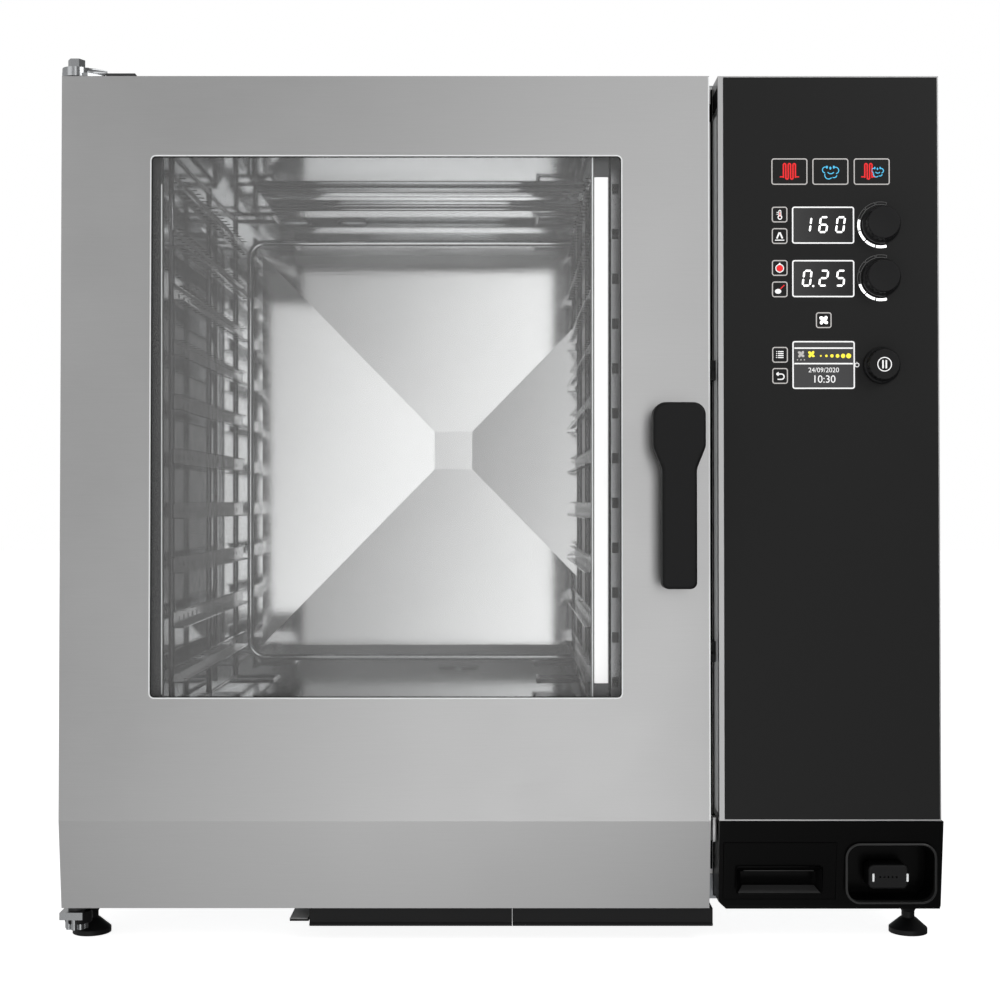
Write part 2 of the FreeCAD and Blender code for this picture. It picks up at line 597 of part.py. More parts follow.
def fan_motors():
    """Two fan motors with finned round bodies and a flange against the insulation."""
    x0 = FAN_WALL_X
    motors = []
    for z in FAN_ZS:
        flange = plate_yz(x0, x0 + 6.0, FAN_DEPTH - 85.0, FAN_DEPTH + 85.0, z - 85.0, z + 85.0)
        body = [flange, rod(MOTOR_R - 5.0, (x0 + 5.0, FAN_DEPTH, z), (x0 + MOTOR_LENGTH, FAN_DEPTH, z))]
        for i in range(7):
            x = x0 + 20.0 + 15.0 * i
            body.append(rod(MOTOR_R, (x, FAN_DEPTH, z), (x + 6.0, FAN_DEPTH, z)))
        bore = rod(FAN_SHAFT_R + FIT, (x0 - 5, FAN_DEPTH, z), (x0 + MOTOR_LENGTH - 10.0, FAN_DEPTH, z))
        motors.append(body[0].multiFuse(body[1:]).cut(bore))
    return Part.makeCompound(motors)


def plate_yz(x0, x1, d0, d1, z0, z1):
    """Square plate thick along X with chamfered corners."""
    block = box(x0, x1, d0, d1, z0, z1)
    edges = [e for e in block.Edges if abs(e.tangentAt(e.FirstParameter).x) > 0.9]
    return block.makeChamfer(20.0, edges)


def fan(z):
    """Radial impeller with curved-back blades between two discs, on its own shaft."""
    x1 = CHAMBER_RIGHT - 12.0
    x0 = x1 - FAN_WIDTH
    disc = rod(FAN_R, (x1 - 2.0, FAN_DEPTH, z), (x1, FAN_DEPTH, z))
    ring = tube(FAN_R, FAN_R - 32.0, (x0, FAN_DEPTH, z), (x0 + 2.0, FAN_DEPTH, z))
    hub = rod(24.0, (x0 + 15.0, FAN_DEPTH, z), (x1 + 4.0, FAN_DEPTH, z))
    shaft = rod(FAN_SHAFT_R, (x1, FAN_DEPTH, z), (FAN_WALL_X + MOTOR_LENGTH - 12.0, FAN_DEPTH, z))
    nut = hexagon(24.0, (x0 + 4.0, FAN_DEPTH, z), (x0 + 16.0, FAN_DEPTH, z))
    blades = []
    for i in range(FAN_BLADES):
        blade = box(x0, x1 - 1.0, FAN_DEPTH - 1.0, FAN_DEPTH + 1.0, z + FAN_R - 48.0, z + FAN_R - 2.0)
        blade.rotate(V(x0, y_at(FAN_DEPTH), z + FAN_R - 25.0), V(1, 0, 0), 35.0)
        blade.rotate(V(x0, y_at(FAN_DEPTH), z), V(1, 0, 0), 360.0 / FAN_BLADES * i)
        blades.append(blade)
    return disc.multiFuse([ring, hub, shaft, nut] + blades)


def steam_nozzle():
    """Water jet that sprays onto the fans to make steam."""
    d, z = NOZZLE
    pipe = rod(5.0, (CHAMBER_RIGHT - 20.0, d, z), (CHAMBER_RIGHT + 90.0, d, z))
    head = rod(9.0, (CHAMBER_RIGHT - 32.0, d, z), (CHAMBER_RIGHT - 18.0, d, z))
    jet = rod(2.0, (CHAMBER_RIGHT - 40.0, d, z), (CHAMBER_RIGHT + 95.0, d, z))
    collar = hexagon(22.0, (CHAMBER_RIGHT - 8.0, d, z), (CHAMBER_RIGHT - SEAT_GAP, d, z))
    return fuse([pipe, head, collar]).cut(jet)


# ---------------------------------------------------------------- door
def door_skin():
    """Folded outer sheet of the door: leaning face, fold, plinth and four returns."""
    top, low, back = CASING_TOP_Z, UNDERSIDE_Z, SKIN_DEPTH
    outer = [(PLINTH_SETBACK, low), (0, FOLD_Z), (TOP_SETBACK, top), (back, top), (back, low)]
    inner = [(PLINTH_SETBACK + SHEET, low + SHEET), (SHEET, FOLD_Z), (TOP_SETBACK + SHEET, top - SHEET),
             (back + 1, top - SHEET), (back + 1, low + SHEET)]
    skin = profile_x(outer, DOOR_LEFT, DOOR_RIGHT)
    skin = skin.cut(profile_x(inner, DOOR_LEFT + SHEET, DOOR_RIGHT - SHEET))
    window = plate(WINDOW_LEFT, WINDOW_RIGHT, WINDOW_BOTTOM_Z, WINDOW_TOP_Z, -2.0, 24.0, WINDOW_CORNER)
    spindle = lean(rod(SPINDLE_R + 6.0 + SEAT_GAP, (HANDLE_X, -3.0, HANDLE_Z), (HANDLE_X, 6.0, HANDLE_Z)))
    pins = rod(HINGE_PIN_R + 5.0, (HINGE_X, HINGE_DEPTH, low - 5), (HINGE_X, HINGE_DEPTH, top + 5))
    return cut(skin, [window, spindle, pins])


def door_inner_frame():
    """Pressed inner tray of the door with the opening for the inner glass."""
    x0, x1 = DOOR_LEFT + SHEET + SEAT_GAP, DOOR_RIGHT - SHEET - SEAT_GAP
    z0, z1 = UNDERSIDE_Z + SHEET + SEAT_GAP, CASING_TOP_Z - SHEET - SEAT_GAP
    back = SKIN_DEPTH + SHEET
    tray = box(x0, x1, HINGE_DEPTH, back, z0, z1)
    wall = FRAME_WALL
    tray = tray.cut(box(x0 + wall, x1 - wall, HINGE_DEPTH - 1, back - wall, z0 + wall, z1 - wall))
    opening = plate(WINDOW_LEFT - 9.0, WINDOW_RIGHT + 9.0, WINDOW_BOTTOM_Z - 10.0, WINDOW_TOP_Z + 10.0,
                    back - 5, back + 1, 10.0)
    z = HANDLE_Z
    tools = [opening, rod(SPINDLE_R + 3.0, (HANDLE_X, back - 9, z), (HANDLE_X, back + 9, z))]
    tools.append(rod(HINGE_PIN_R + 5.0, (HINGE_X, HINGE_DEPTH, z0 - 5), (HINGE_X, HINGE_DEPTH, z1 + 5)))
    return cut(tray, tools)


def outer_glass():
    """Tempered pane behind the window of the door skin."""
    d0 = SHEET + 0.4
    pane = plate(WINDOW_LEFT - GLASS_LAP, WINDOW_RIGHT + GLASS_LAP, WINDOW_BOTTOM_Z - GLASS_LAP,
                 WINDOW_TOP_Z + GLASS_LAP, d0, d0 + GLASS, 4.0)
    return lean(pane)


def inner_glass():
    """Low-emission pane held in front of the inner tray's opening."""
    lap = GLASS_LAP + 9.0
    return plate(WINDOW_LEFT - lap, WINDOW_RIGHT + lap, WINDOW_BOTTOM_Z - lap, WINDOW_TOP_Z + lap,
                 INNER_GLASS_DEPTH, INNER_GLASS_DEPTH + GLASS, 4.0)


def glass_hinge_strip():
    """Upright channel along the left edge of the inner glass, its hinge for cleaning."""
    x0 = WINDOW_LEFT - 7.5
    z0, z1 = WINDOW_BOTTOM_Z - 17.0, WINDOW_TOP_Z + 17.0
    strip = box(x0, x0 + 17.0, INNER_GLASS_DEPTH - 12.0, INNER_GLASS_DEPTH - SEAT_GAP, z0, z1)
    groove = box(x0 + 2.0, x0 + 15.0, INNER_GLASS_DEPTH - 13.0, INNER_GLASS_DEPTH - 10.0, z0 - 1, z1 + 1)
    return strip.cut(groove)


def light_housing():
    """Aluminium channel of the door light, between the two panes."""
    z0, z1 = WINDOW_BOTTOM_Z - 14.0, WINDOW_TOP_Z + 14.0
    bar = box(LIGHT_X, LIGHT_X + LIGHT_WIDTH, LIGHT_FRONT, INNER_GLASS_DEPTH - SEAT_GAP, z0, z1)
    return bar.cut(lens_block(0.2, 9.0))


def lens_block(grow, depth):
    """Block of the light's lens, grown for its pocket."""
    x0 = LIGHT_X + (LIGHT_WIDTH - LENS_WIDTH) / 2
    return box(x0 - grow, x0 + LENS_WIDTH + grow, LIGHT_FRONT - 1.0, LIGHT_FRONT + depth,
               WINDOW_BOTTOM_Z + 15.0 - grow, WINDOW_TOP_Z - 23.0 + grow)


def light_lens():
    """Diffusing lens over the row of light diodes."""
    lens = lens_block(0.0, 8.8)
    edges = [e for e in lens.Edges if abs(e.tangentAt(e.FirstParameter).z) > 0.9
             and e.CenterOfMass.y < y_at(LIGHT_FRONT)]
    return lens.makeFillet(2.0, edges)


def door_bushes():
    """Top and bottom hinge blocks inside the door and the bush of the handle spindle."""
    x0, x1 = DOOR_LEFT + SHEET + 2.0, HINGE_X + 18.0
    d0, d1 = TOP_SETBACK + SHEET + 1.0, SKIN_DEPTH - 3.0
    pin_r = HINGE_PIN_R + FIT
    top_z = CASING_TOP_Z - SHEET - FRAME_WALL - 2 * SEAT_GAP
    top = box(x0, x1, d0, d1, top_z - 22.0, top_z)
    low_z = UNDERSIDE_Z + SHEET + FRAME_WALL + 2 * SEAT_GAP
    low = box(x0, x1, d0, d1, low_z, low_z + 22.0)
    collar = rod(HINGE_PIN_R + 4.0, (HINGE_X, HINGE_DEPTH, PLATE_BOTTOM_Z + PLATE_THICK + SEAT_GAP),
                 (HINGE_X, HINGE_DEPTH, low_z + 1.0))
    low = low.fuse(collar)
    bore = rod(pin_r, (HINGE_X, HINGE_DEPTH, 20.0), (HINGE_X, HINGE_DEPTH, CASING_TOP_Z + 20.0))
    bush = tube(SPINDLE_R + 6.0, SPINDLE_R + FIT, (HANDLE_X, 0.0, HANDLE_Z), (HANDLE_X, 26.0, HANDLE_Z))
    return Part.makeCompound([top.cut(bore), low.cut(bore), lean(bush)])


# ---------------------------------------------------------------- handle
def handle_lever():
    """Moulded lever: broad hub at the pivot, narrow grip hanging below it."""
    hub, grip = HUB_WIDTH / 2, GRIP_WIDTH / 2
    x, z = HANDLE_X, HANDLE_Z
    points = [(x - hub, z + HUB_TOP_RISE), (x - hub, z - HUB_DROP), (x - grip, z - TAPER_DROP),
              (x - grip, z - GRIP_DROP), (x + grip, z - GRIP_DROP), (x + grip, z - TAPER_DROP),
              (x + hub, z - HUB_DROP), (x + hub, z + HUB_TOP_RISE)]
    corners = [15.0, 18.0, 18.0, 8.0, 8.0, 18.0, 18.0, 15.0]
    lever = rounded_prism(points, corners, -HANDLE_REACH, -HANDLE_REACH + GRIP_THICK)
    front = [e for e in lever.Edges if e.BoundBox.YMax < y_at(-HANDLE_REACH) + 0.01]
    lever = lever.makeFillet(4.0, front)
    neck = rod(hub - 8.0, (x, -HANDLE_REACH + GRIP_THICK - 1.0, z), (x, -SEAT_GAP - 0.2, z))
    socket = rod(SPINDLE_R + FIT, (x, -HANDLE_REACH + 12.0 - FIT, z), (x, 1.0, z))
    return lean(lever.fuse(neck).cut(socket))


def latch_spindle():
    """Steel spindle through the door with the claw that pulls it shut."""
    back = SKIN_DEPTH + SHEET + 5.7 - lean_depth(HANDLE_Z)
    shaft = rod(SPINDLE_R, (HANDLE_X, -HANDLE_REACH + 12.0, HANDLE_Z), (HANDLE_X, back, HANDLE_Z))
    claw = box(HANDLE_X, HANDLE_X + CLAW_REACH, back - CLAW_THICK, back, HANDLE_Z - 9.0, HANDLE_Z + 9.0)
    notch = rod(7.0, (HANDLE_X + CLAW_REACH - 11.0, back - 9, HANDLE_Z - 9.0),
                (HANDLE_X + CLAW_REACH - 11.0, back + 9, HANDLE_Z - 9.0))
    return lean(shaft.fuse(claw.cut(notch)))


def latch_catch():
    """Strike plate on the front frame and two hooks in the gap beside the door."""
    strike = plate(HANDLE_X - 12.0, DOOR_RIGHT - 2.0, HANDLE_Z - 30.0, HANDLE_Z + 30.0,
                   FRAME_FRONT - 1.5, FRAME_FRONT, 4.0)
    hooks = []
    for z in (CASING_TOP_Z - 356.0, FOLD_Z + 202.0):
        arm = box(COLUMN_LEFT - 7.0, COLUMN_LEFT, HINGE_DEPTH, FRAME_FRONT, z - 12.0, z + 12.0)
        nose = box(COLUMN_LEFT - 7.0, COLUMN_LEFT - 2.5, HINGE_DEPTH - 12.0, HINGE_DEPTH, z - 12.0, z - 2.0)
        hooks.append(arm.fuse(nose))
    return Part.makeCompound([strike] + hooks)


# ---------------------------------------------------------------- control column
def column_shell():
    """Steel surround of the control column: two sides, roof, floor and the seat of the fascia."""
    top, low = CASING_TOP_Z, FOLD_Z + 0.5
    x0, x1 = COLUMN_LEFT, HALF
    back = FRAME_FRONT - SEAT_GAP
    slope = [(0.5, low), (TOP_SETBACK + 0.5, top), (back, top), (back, low)]
    inner = [(-5.0, low + SHEET), (-5.0, top - SHEET), (back + 9, top - SHEET), (back + 9, low + SHEET)]
    shell = profile_x(slope, x0, x1).cut(profile_x(inner, x0 + SHEET, x1 - SHEET))
    lip = lean(box(x0, x0 + FASCIA_LEFT_INSET - SEAT_GAP, 0.5, 0.5 + SHEET, low, top - 0.2))
    seat_d = FASCIA_THICK + SEAT_GAP
    seat = box(x0 + 0.5, x1 - 0.5, seat_d, seat_d + SHEET, low + 0.5, top - 0.5)
    seat = seat.cut(box(x0 + 14.0, x1 - 10.0, seat_d - 1, seat_d + 9, low + 12.0, top - 12.0))
    return fuse([shell, lip, lean(seat)])


def fascia_box():
    """Corners of the fascia plate in X and Z."""
    return (COLUMN_LEFT + FASCIA_LEFT_INSET, HALF - FASCIA_RIGHT_INSET, FOLD_Z + 2.3, CASING_TOP_Z - 1.8)


def control_fascia():
    """Black front plate with the cut-outs of the displays, buttons and knob shafts."""
    x0, x1, z0, z1 = fascia_box()
    sheet = plate(x0, x1, z0, z1, 0.0, FASCIA_THICK, 1.5)
    tools = []
    for _, dx, drop, size in BUTTONS:
        tools.append(button_block(dx, drop, size, BUTTON_GAP, -3.0, FASCIA_THICK + 3.0))
    for dx, drop, width, height in DISPLAYS:
        left, top = COLUMN_LEFT + dx, CASING_TOP_Z - drop
        tools.append(plate(left - 0.2, left + width + 0.2, top - height - 0.2, top + 0.2, -3, 9, 3.2))
    for drop in [k[1] for k in KNOBS] + [MENU_KNOB_DROP]:
        tools.append(knob_rod(drop, KNOB_SHAFT_R + FIT, -3.0, FASCIA_THICK + 3.0))
    return lean(cut(sheet, tools))


def button_block(dx, drop, size, grow, d0, d1):
    """Rounded block of one button, grown for its cut-out."""
    x, z = COLUMN_LEFT + dx, CASING_TOP_Z - drop
    w, h = size[0] / 2 + grow, size[1] / 2 + grow
    return plate(x - w, x + w, z - h, z + h, d0, d1, 3.0 + grow)


def button(dx, drop, size):
    """Push button: cap standing just proud of the fascia."""
    return lean(button_block(dx, drop, size, 0.0, -BUTTON_PROUD, BUTTON_DEPTH))


def knob_rod(drop, radius, d0, d1):
    """Round bar on the axis of the knob at that drop."""
    x, z = COLUMN_LEFT + KNOB_COLUMN, CASING_TOP_Z - drop
    return rod(radius, (x, d0, z), (x, d1, z))


def display_modules():
    """Two digit displays and the colour display, their windows flush with the fascia."""
    modules = []
    for dx, drop, width, height in DISPLAYS:
        left, top = COLUMN_LEFT + dx, CASING_TOP_Z - drop
        window = plate(left, left + width, top - height, top, 0.0, FASCIA_THICK + 1.0, 3.0)
        body = box(left + 2.0, left + width - 2.0, FASCIA_THICK, BOARD_DEPTH, top - height + 2.0, top - 2.0)
        modules.append(lean(window.fuse(body)))
    return Part.makeCompound(modules)


def control_board():
    """Circuit board behind the fascia with an encoder for each knob and its stand-offs."""
    x0, x1 = COLUMN_LEFT + 26.0, HALF - 17.0
    z0, z1 = CASING_TOP_Z - 400.0, CASING_TOP_Z - 90.0
    d0 = BOARD_DEPTH
    parts = [box(x0, x1, d0, d0 + BOARD_THICK, z0, z1)]
    for drop in [k[1] for k in KNOBS] + [MENU_KNOB_DROP]:
        x, z = COLUMN_LEFT + KNOB_COLUMN, CASING_TOP_Z - drop
        parts.append(box(x - 7.0, x + 7.0, FASCIA_THICK + 2.0, d0, z - 7.0, z + 7.0))
    for x in (x0 + 6.0, x1 - 6.0):
        for z in (z0 + 6.0, z1 - 6.0):
            parts.append(rod(4.0, (x, FASCIA_THICK, z), (x, d0, z)))
    for i in range(4):
        parts.append(box(x0 + 20.0 + 46.0 * i, x0 + 48.0 + 46.0 * i, d0 + BOARD_THICK, d0 + 12.0,
                         z0 + 60.0, z0 + 90.0))
    bores = [knob_rod(k, KNOB_SHAFT_R + FIT, -3.0, BOARD_DEPTH) for k in
             [k[1] for k in KNOBS] + [MENU_KNOB_DROP]]
    return lean(cut(fuse(parts), bores))


def knob_body(drop, radius, sides):
    """Knob cap with a grooved rim, standing off the fascia."""
    d1 = -KNOB_LIFT
    d0 = d1 - KNOB_HEIGHT
    cap = knob_rod(drop, radius - 2.5, d0, d1 - 4.0)
    rim = [e for e in cap.Edges if e.BoundBox.YMax < y_at(d0) + 0.01 and len(e.Vertexes) == 1]
    cap = cap.makeFillet(2.0, rim)
    skirt = knob_rod(drop, radius, d1 - 5.0, d1)
    x, z = COLUMN_LEFT + KNOB_COLUMN, CASING_TOP_Z - drop
    grooves = []
    for i in range(sides):
        turn = 2 * math.pi * i / sides
        gx, gz = x + (radius - 1.6) * math.cos(turn), z + (radius - 1.6) * math.sin(turn)
        grooves.append(rod(1.3, (gx, d0 - 1, gz), (gx, d1 - 5.0, gz)))
    return cut(cap, grooves).fuse(skirt)


def turning_knob(drop):
    """Knob with its own shaft through the fascia into the encoder."""
    shaft = knob_rod(drop, KNOB_SHAFT_R, -KNOB_LIFT - 5.0, BOARD_DEPTH - 1.0)
    return lean(knob_body(drop, KNOB_R, 24).fuse(shaft))


def knob_menu():
    """Cap of the turn-and-push knob, turning on its sliding shaft."""
    bore = knob_rod(MENU_KNOB_DROP, KNOB_SHAFT_R + FIT, KNOB_FACE - KNOB_LIFT - KNOB_HEIGHT, 1.0)
    return lean(knob_body(MENU_KNOB_DROP, MENU_KNOB_R, 20).cut(bore))


def menu_knob_shaft():
    """Sliding shaft that carries the turn-and-push knob."""
    tip = KNOB_FACE + SEAT_GAP - KNOB_LIFT - KNOB_HEIGHT
    return lean(knob_rod(MENU_KNOB_DROP, KNOB_SHAFT_R, tip, BOARD_DEPTH - 1.0 - MENU_TRAVEL))


# ---------------------------------------------------------------- lower box, drawer and spray gun
def lower_housing():
    """Moulded box under the column with the drawer's tunnel and the recess of the spray gun."""
    top, low = FOLD_Z - 0.5, BOX_BOTTOM_Z
    x0, x1 = COLUMN_LEFT + 0.5, HALF + HINGE_REACH_X
    outline = [(1.5, top), (PLINTH_SETBACK + 1.0, low + 5.0), (PLINTH_SETBACK + 5.0, low),
               (BOX_BACK_DEPTH, low), (BOX_BACK_DEPTH, top)]
    block = profile_x(outline, x0, x1)
    corner = box(-7, 7, -9, BOX_BACK_DEPTH + 9, -7, 7)
    corner.rotate(V(0, 0, 0), V(0, 1, 0), 45.0)
    corner.translate(V(x0, 0, low))
    d0, d1 = drawer_sides()
    tunnel = box(d0 - SEAT_GAP - 0.2, d1 + SEAT_GAP + 0.2, -5.0, BOX_BACK_DEPTH + 5.0,
                 DRAWER_BOTTOM_Z + 4.0 - SEAT_GAP, DRAWER_BOTTOM_Z + DRAWER_HEIGHT + SEAT_GAP)
    r0 = COLUMN_LEFT + RECESS_LEFT
    recess = plate(r0, r0 + RECESS_WIDTH, RECESS_BOTTOM_Z, RECESS_BOTTOM_Z + RECESS_HEIGHT,
                   -5.0, RECESS_DEPTH, RECESS_CORNER)
    hose = rod(GUN_HOSE_R + SEAT_GAP, (r0 + RECESS_WIDTH / 2, 0, GUN_Z), (r0 + RECESS_WIDTH / 2, 99, GUN_Z))
    return cut(block, [corner, tunnel, recess, hose])


def drawer_sides():
    """X of the drawer's two sides."""
    x0 = COLUMN_LEFT + DRAWER_LEFT
    return x0, x0 + DRAWER_WIDTH


def filter_drawer():
    """Pull-out air filter drawer: moulded front with a finger pull and an open tray."""
    x0, x1 = drawer_sides()
    z0, z1 = DRAWER_BOTTOM_Z + 4.0, DRAWER_BOTTOM_Z + DRAWER_HEIGHT
    face_top, face_low = 3.5, PLINTH_SETBACK + 0.5
    outline = [(face_top, z1), (face_low, z0), (48.0, z0), (48.0, z1)]
    front = profile_x(outline, x0, x1)
    middle = (x0 + x1) / 2
    half = PULL_WIDTH / 2
    pull = [(middle - half, PULL_BOTTOM_Z), (middle + half, PULL_BOTTOM_Z),
            (middle + half, PULL_BOTTOM_Z + PULL_HEIGHT), (middle - half, PULL_BOTTOM_Z + PULL_HEIGHT)]
    front = front.cut(rounded_prism(pull, 3.0, -5.0, face_low + PULL_DEPTH))
    t = DRAWER_WALL
    tray = box(x0, x1, 47.0, DRAWER_LENGTH, z0, z1 - 14.0)
    tray = tray.cut(box(x0 + t, x1 - t, 48.0, DRAWER_LENGTH - t, z0 + t, z1))
    slots = [box(x0 + 14.0, x1 - 14.0, 62.0 + 16.0 * i, 71.0 + 16.0 * i, z0 - 1, z0 + t + 1)
             for i in range(11)]
    return cut(front.fuse(tray), slots)


def spray_gun():
    """Retractable hand shower: head in the recess and the hose's end fitting behind it."""
    x = COLUMN_LEFT + RECESS_LEFT + RECESS_WIDTH / 2
    z = GUN_Z
    half_w, half_h = GUN_WIDTH / 2, GUN_HEIGHT / 2
    head = plate(x - half_w, x + half_w, z - half_h, z + half_h, 16.0, 40.0, 7.0)
    front = [e for e in head.Edges if e.BoundBox.YMax < y_at(16.0) + 0.01]
    head = head.makeFillet(3.0, front)
    neck = rod(11.0, (x, 39.0, z), (x, RECESS_DEPTH - SEAT_GAP, z))
    hose = rod(GUN_HOSE_R, (x, RECESS_DEPTH - 2.0, z), (x, RECESS_DEPTH + GUN_TRAVEL + 12.0, z))
    jets = [rod(1.2, (x + 5.0 * i, 9.0, z), (x + 5.0 * i, 20.0, z)) for i in (-2, -1, 0, 1, 2)]
    return cut(fuse([head, neck, hose]), jets)


def hose_reel():
    """Closed drum that winds up the shower hose, on a bracket from the chassis."""
    x = COLUMN_LEFT + RECESS_LEFT + RECESS_WIDTH / 2
    d0 = RECESS_DEPTH + GUN_TRAVEL + 20.0
    z = GUN_Z + 35.0
    radius = 62.0
    drum = rod(radius, (x - 24.0, d0 + radius, z), (x + 24.0, d0 + radius, z))
    cheeks = [rod(radius + 6.0, (x + side, d0 + radius, z), (x + side + 3.0, d0 + radius, z))
              for side in (-27.0, 24.0)]
    stand = box(x - 24.0, x + 24.0, d0 + 30.0, d0 + 94.0, UNDERSIDE_Z + SHEET, z - radius + 12.0)
    guide = tube(GUN_HOSE_R + 4.0, GUN_HOSE_R + SEAT_GAP, (x, d0 - 6.0, GUN_Z), (x, d0 + 20.0, GUN_Z))
    return fuse([drum, stand] + cheeks).fuse(guide.cut(drum))


# ---------------------------------------------------------------- feet, hinges, tray and services
def foot(x, depth):
    """Adjustable foot: conical pad, neck, cone and threaded stem in the chassis boss."""
    base = V(x, y_at(depth), 0)
    up = V(0, 0, 1)
    parts = [Part.makeCylinder(FOOT_R, 6.0, base, up),
             Part.makeCone(FOOT_R, 10.0, 12.0, base + V(0, 0, 6.0), up),
             Part.makeCylinder(8.0, 8.0, base + V(0, 0, 18.0), up),
             Part.makeCone(8.0, 16.0, 14.5, base + V(0, 0, 26.0), up),
             Part.makeCylinder(FOOT_STEM_R, 22.0, base + V(0, 0, 40.5), up)]
    return fuse(parts)


def feet():
    """The four adjustable feet."""
    return Part.makeCompound([foot(x, depth) for x, depth in FEET])


def hinge_brackets():
    """Bottom plate and top arm of the door hinge, each with its pin."""
    x, d = HINGE_X, HINGE_DEPTH
    left = DOOR_LEFT - HINGE_REACH_X
    z0, z1 = PLATE_BOTTOM_Z, PLATE_BOTTOM_Z + PLATE_THICK
    pad = box(left, left + 28.0, d - 16.0, d + 14.0, z0, z1)
    arm = box(left, left + 8.5, d + 13.0, d + 130.0, z0, z1)
    riser = box(left, left + 8.5, FRAME_FRONT + 20.0, d + 130.0, z1 - 1.0, UNDERSIDE_Z)
    pin = rod(HINGE_PIN_R, (x, d, z1 - 1.0), (x, d, UNDERSIDE_Z + 24.0))
    lobes = [rod(4.0, (x + 10.0 * math.cos(t), d + 10.0 * math.sin(t), z0 - 13.0),
                 (x + 10.0 * math.cos(t), d + 10.0 * math.sin(t), z0))
             for t in [2 * math.pi * i / 8 for i in range(8)]]
    knob = rod(11.0, (x, d, z0 - 13.0), (x, d, z0)).multiFuse(lobes)
    bottom = fuse([pad, arm, riser, pin]).fuse(knob)
    a0 = CASING_TOP_Z + 0.5
    outline = [(DOOR_LEFT, d - 14.0), (x + 17.0, d - 14.0), (DOOR_LEFT + 100.0, d + 44.0),
               (DOOR_LEFT + 100.0, d + 90.0), (DOOR_LEFT, d + 90.0)]
    top = profile_z(outline, a0, a0 + ARM_THICK)
    head = rod(HINGE_HEAD_R, (x, d, a0), (x, d, a0 + 11.0))
    nut = hexagon(18.0, (x, d, a0 + 10.0), (x, d, HINGE_HEAD_TOP_Z))
    top_pin = rod(HINGE_PIN_R, (x, d, CASING_TOP_Z - 24.0), (x, d, a0 + 1.0))
    bolt_top = a0 + ARM_THICK + 4.0
    bolts = [rod(5.0, (DOOR_LEFT + bx, d + 76.0, CASING_TOP_Z), (DOOR_LEFT + bx, d + 76.0, bolt_top))
             for bx in (16.0, 84.0)]
    return Part.makeCompound([bottom, top.multiFuse([head, nut, top_pin] + bolts)])


def drip_tray():
    """Two trough sections that catch the door's condensate, with the bracket at their left end."""
    x0, x1 = COLUMN_LEFT - 5.5, HANDLE_X - 443.0
    middle = (x0 + x1) / 2 + 1.5
    sections = []
    for a, b in ((x1, middle - SEAT_GAP), (middle + SEAT_GAP, x0)):
        outer = box(a, b, 20.0, FRAME_FRONT - 2.0, 19.5, UNDERSIDE_Z - 2.0)
        trough = outer.cut(box(a + 2.0, b - 2.0, 22.0, FRAME_FRONT - 4.0, 21.5, UNDERSIDE_Z))
        lip = box(a, b, 18.0, 21.0, 21.0, 23.0)
        flange = box(a, b, FRAME_FRONT - 4.0, FRAME_FRONT + 40.0,
                     UNDERSIDE_Z - 2.0 - SHEET, UNDERSIDE_Z - SEAT_GAP)
        sections.append(fuse([trough, lip, flange]))
    bracket = box(x1 - 24.0, x1 - 1.0, 20.0, FRAME_FRONT + 40.0, 25.6, 27.6)
    leg = box(x1 - 24.0, x1 - 1.0, FRAME_FRONT + 20.0, FRAME_FRONT + 40.0, 26.6, UNDERSIDE_Z - SEAT_GAP)
    return Part.makeCompound(sections + [fuse([bracket, leg])])


def vent_stacks():
    """Two short vent pipes from the chamber through the roof."""
    pipes = []
    for x, d in VENTS:
        pipe = rod(VENT_R, (x, d, CHAMBER_CEILING_Z + SHEET + SEAT_GAP), (x, d, HINGE_HEAD_TOP_Z - 2.0))
        collar = rod(VENT_R + 10.0, (x, d, CASING_TOP_Z), (x, d, CASING_TOP_Z + 2.0))
        bore = rod(VENT_R - 1.5, (x, d, 900.0), (x, d, CASING_TOP_Z + 90.0))
        pipes.append(pipe.fuse(collar).cut(bore))
    return Part.makeCompound(pipes)


def drain_pipe():
    """Drain from the chamber floor, down and out through the back."""
    x, d = DRAIN_X, DRAIN_DEPTH
    bend = 45.0
    top = CHAMBER_FLOOR_Z - SHEET - SEAT_GAP
    solids = []
    spigot = rod(DRAIN_R, (x, BODY_DEPTH, DRAIN_Z), (x, BODY_DEPTH + REAR_REACH, DRAIN_Z))
    for r in (DRAIN_R - 1.0, DRAIN_R - DRAIN_WALL):
        down = rod(r, (x, d, DRAIN_Z + bend), (x, d, top))
        out = rod(r, (x, d + bend, DRAIN_Z), (x, BODY_DEPTH + REAR_REACH, DRAIN_Z))
        face = Part.Face(Part.Wire(Part.makeCircle(r, V(x, y_at(d), DRAIN_Z + bend), V(0, 0, 1))))
        elbow = face.revolve(V(x, y_at(d + bend), DRAIN_Z + bend), V(1, 0, 0), 90.0)
        solids.append(down.multiFuse([elbow, out]))
    return solids[0].fuse(spigot).cut(solids[1])


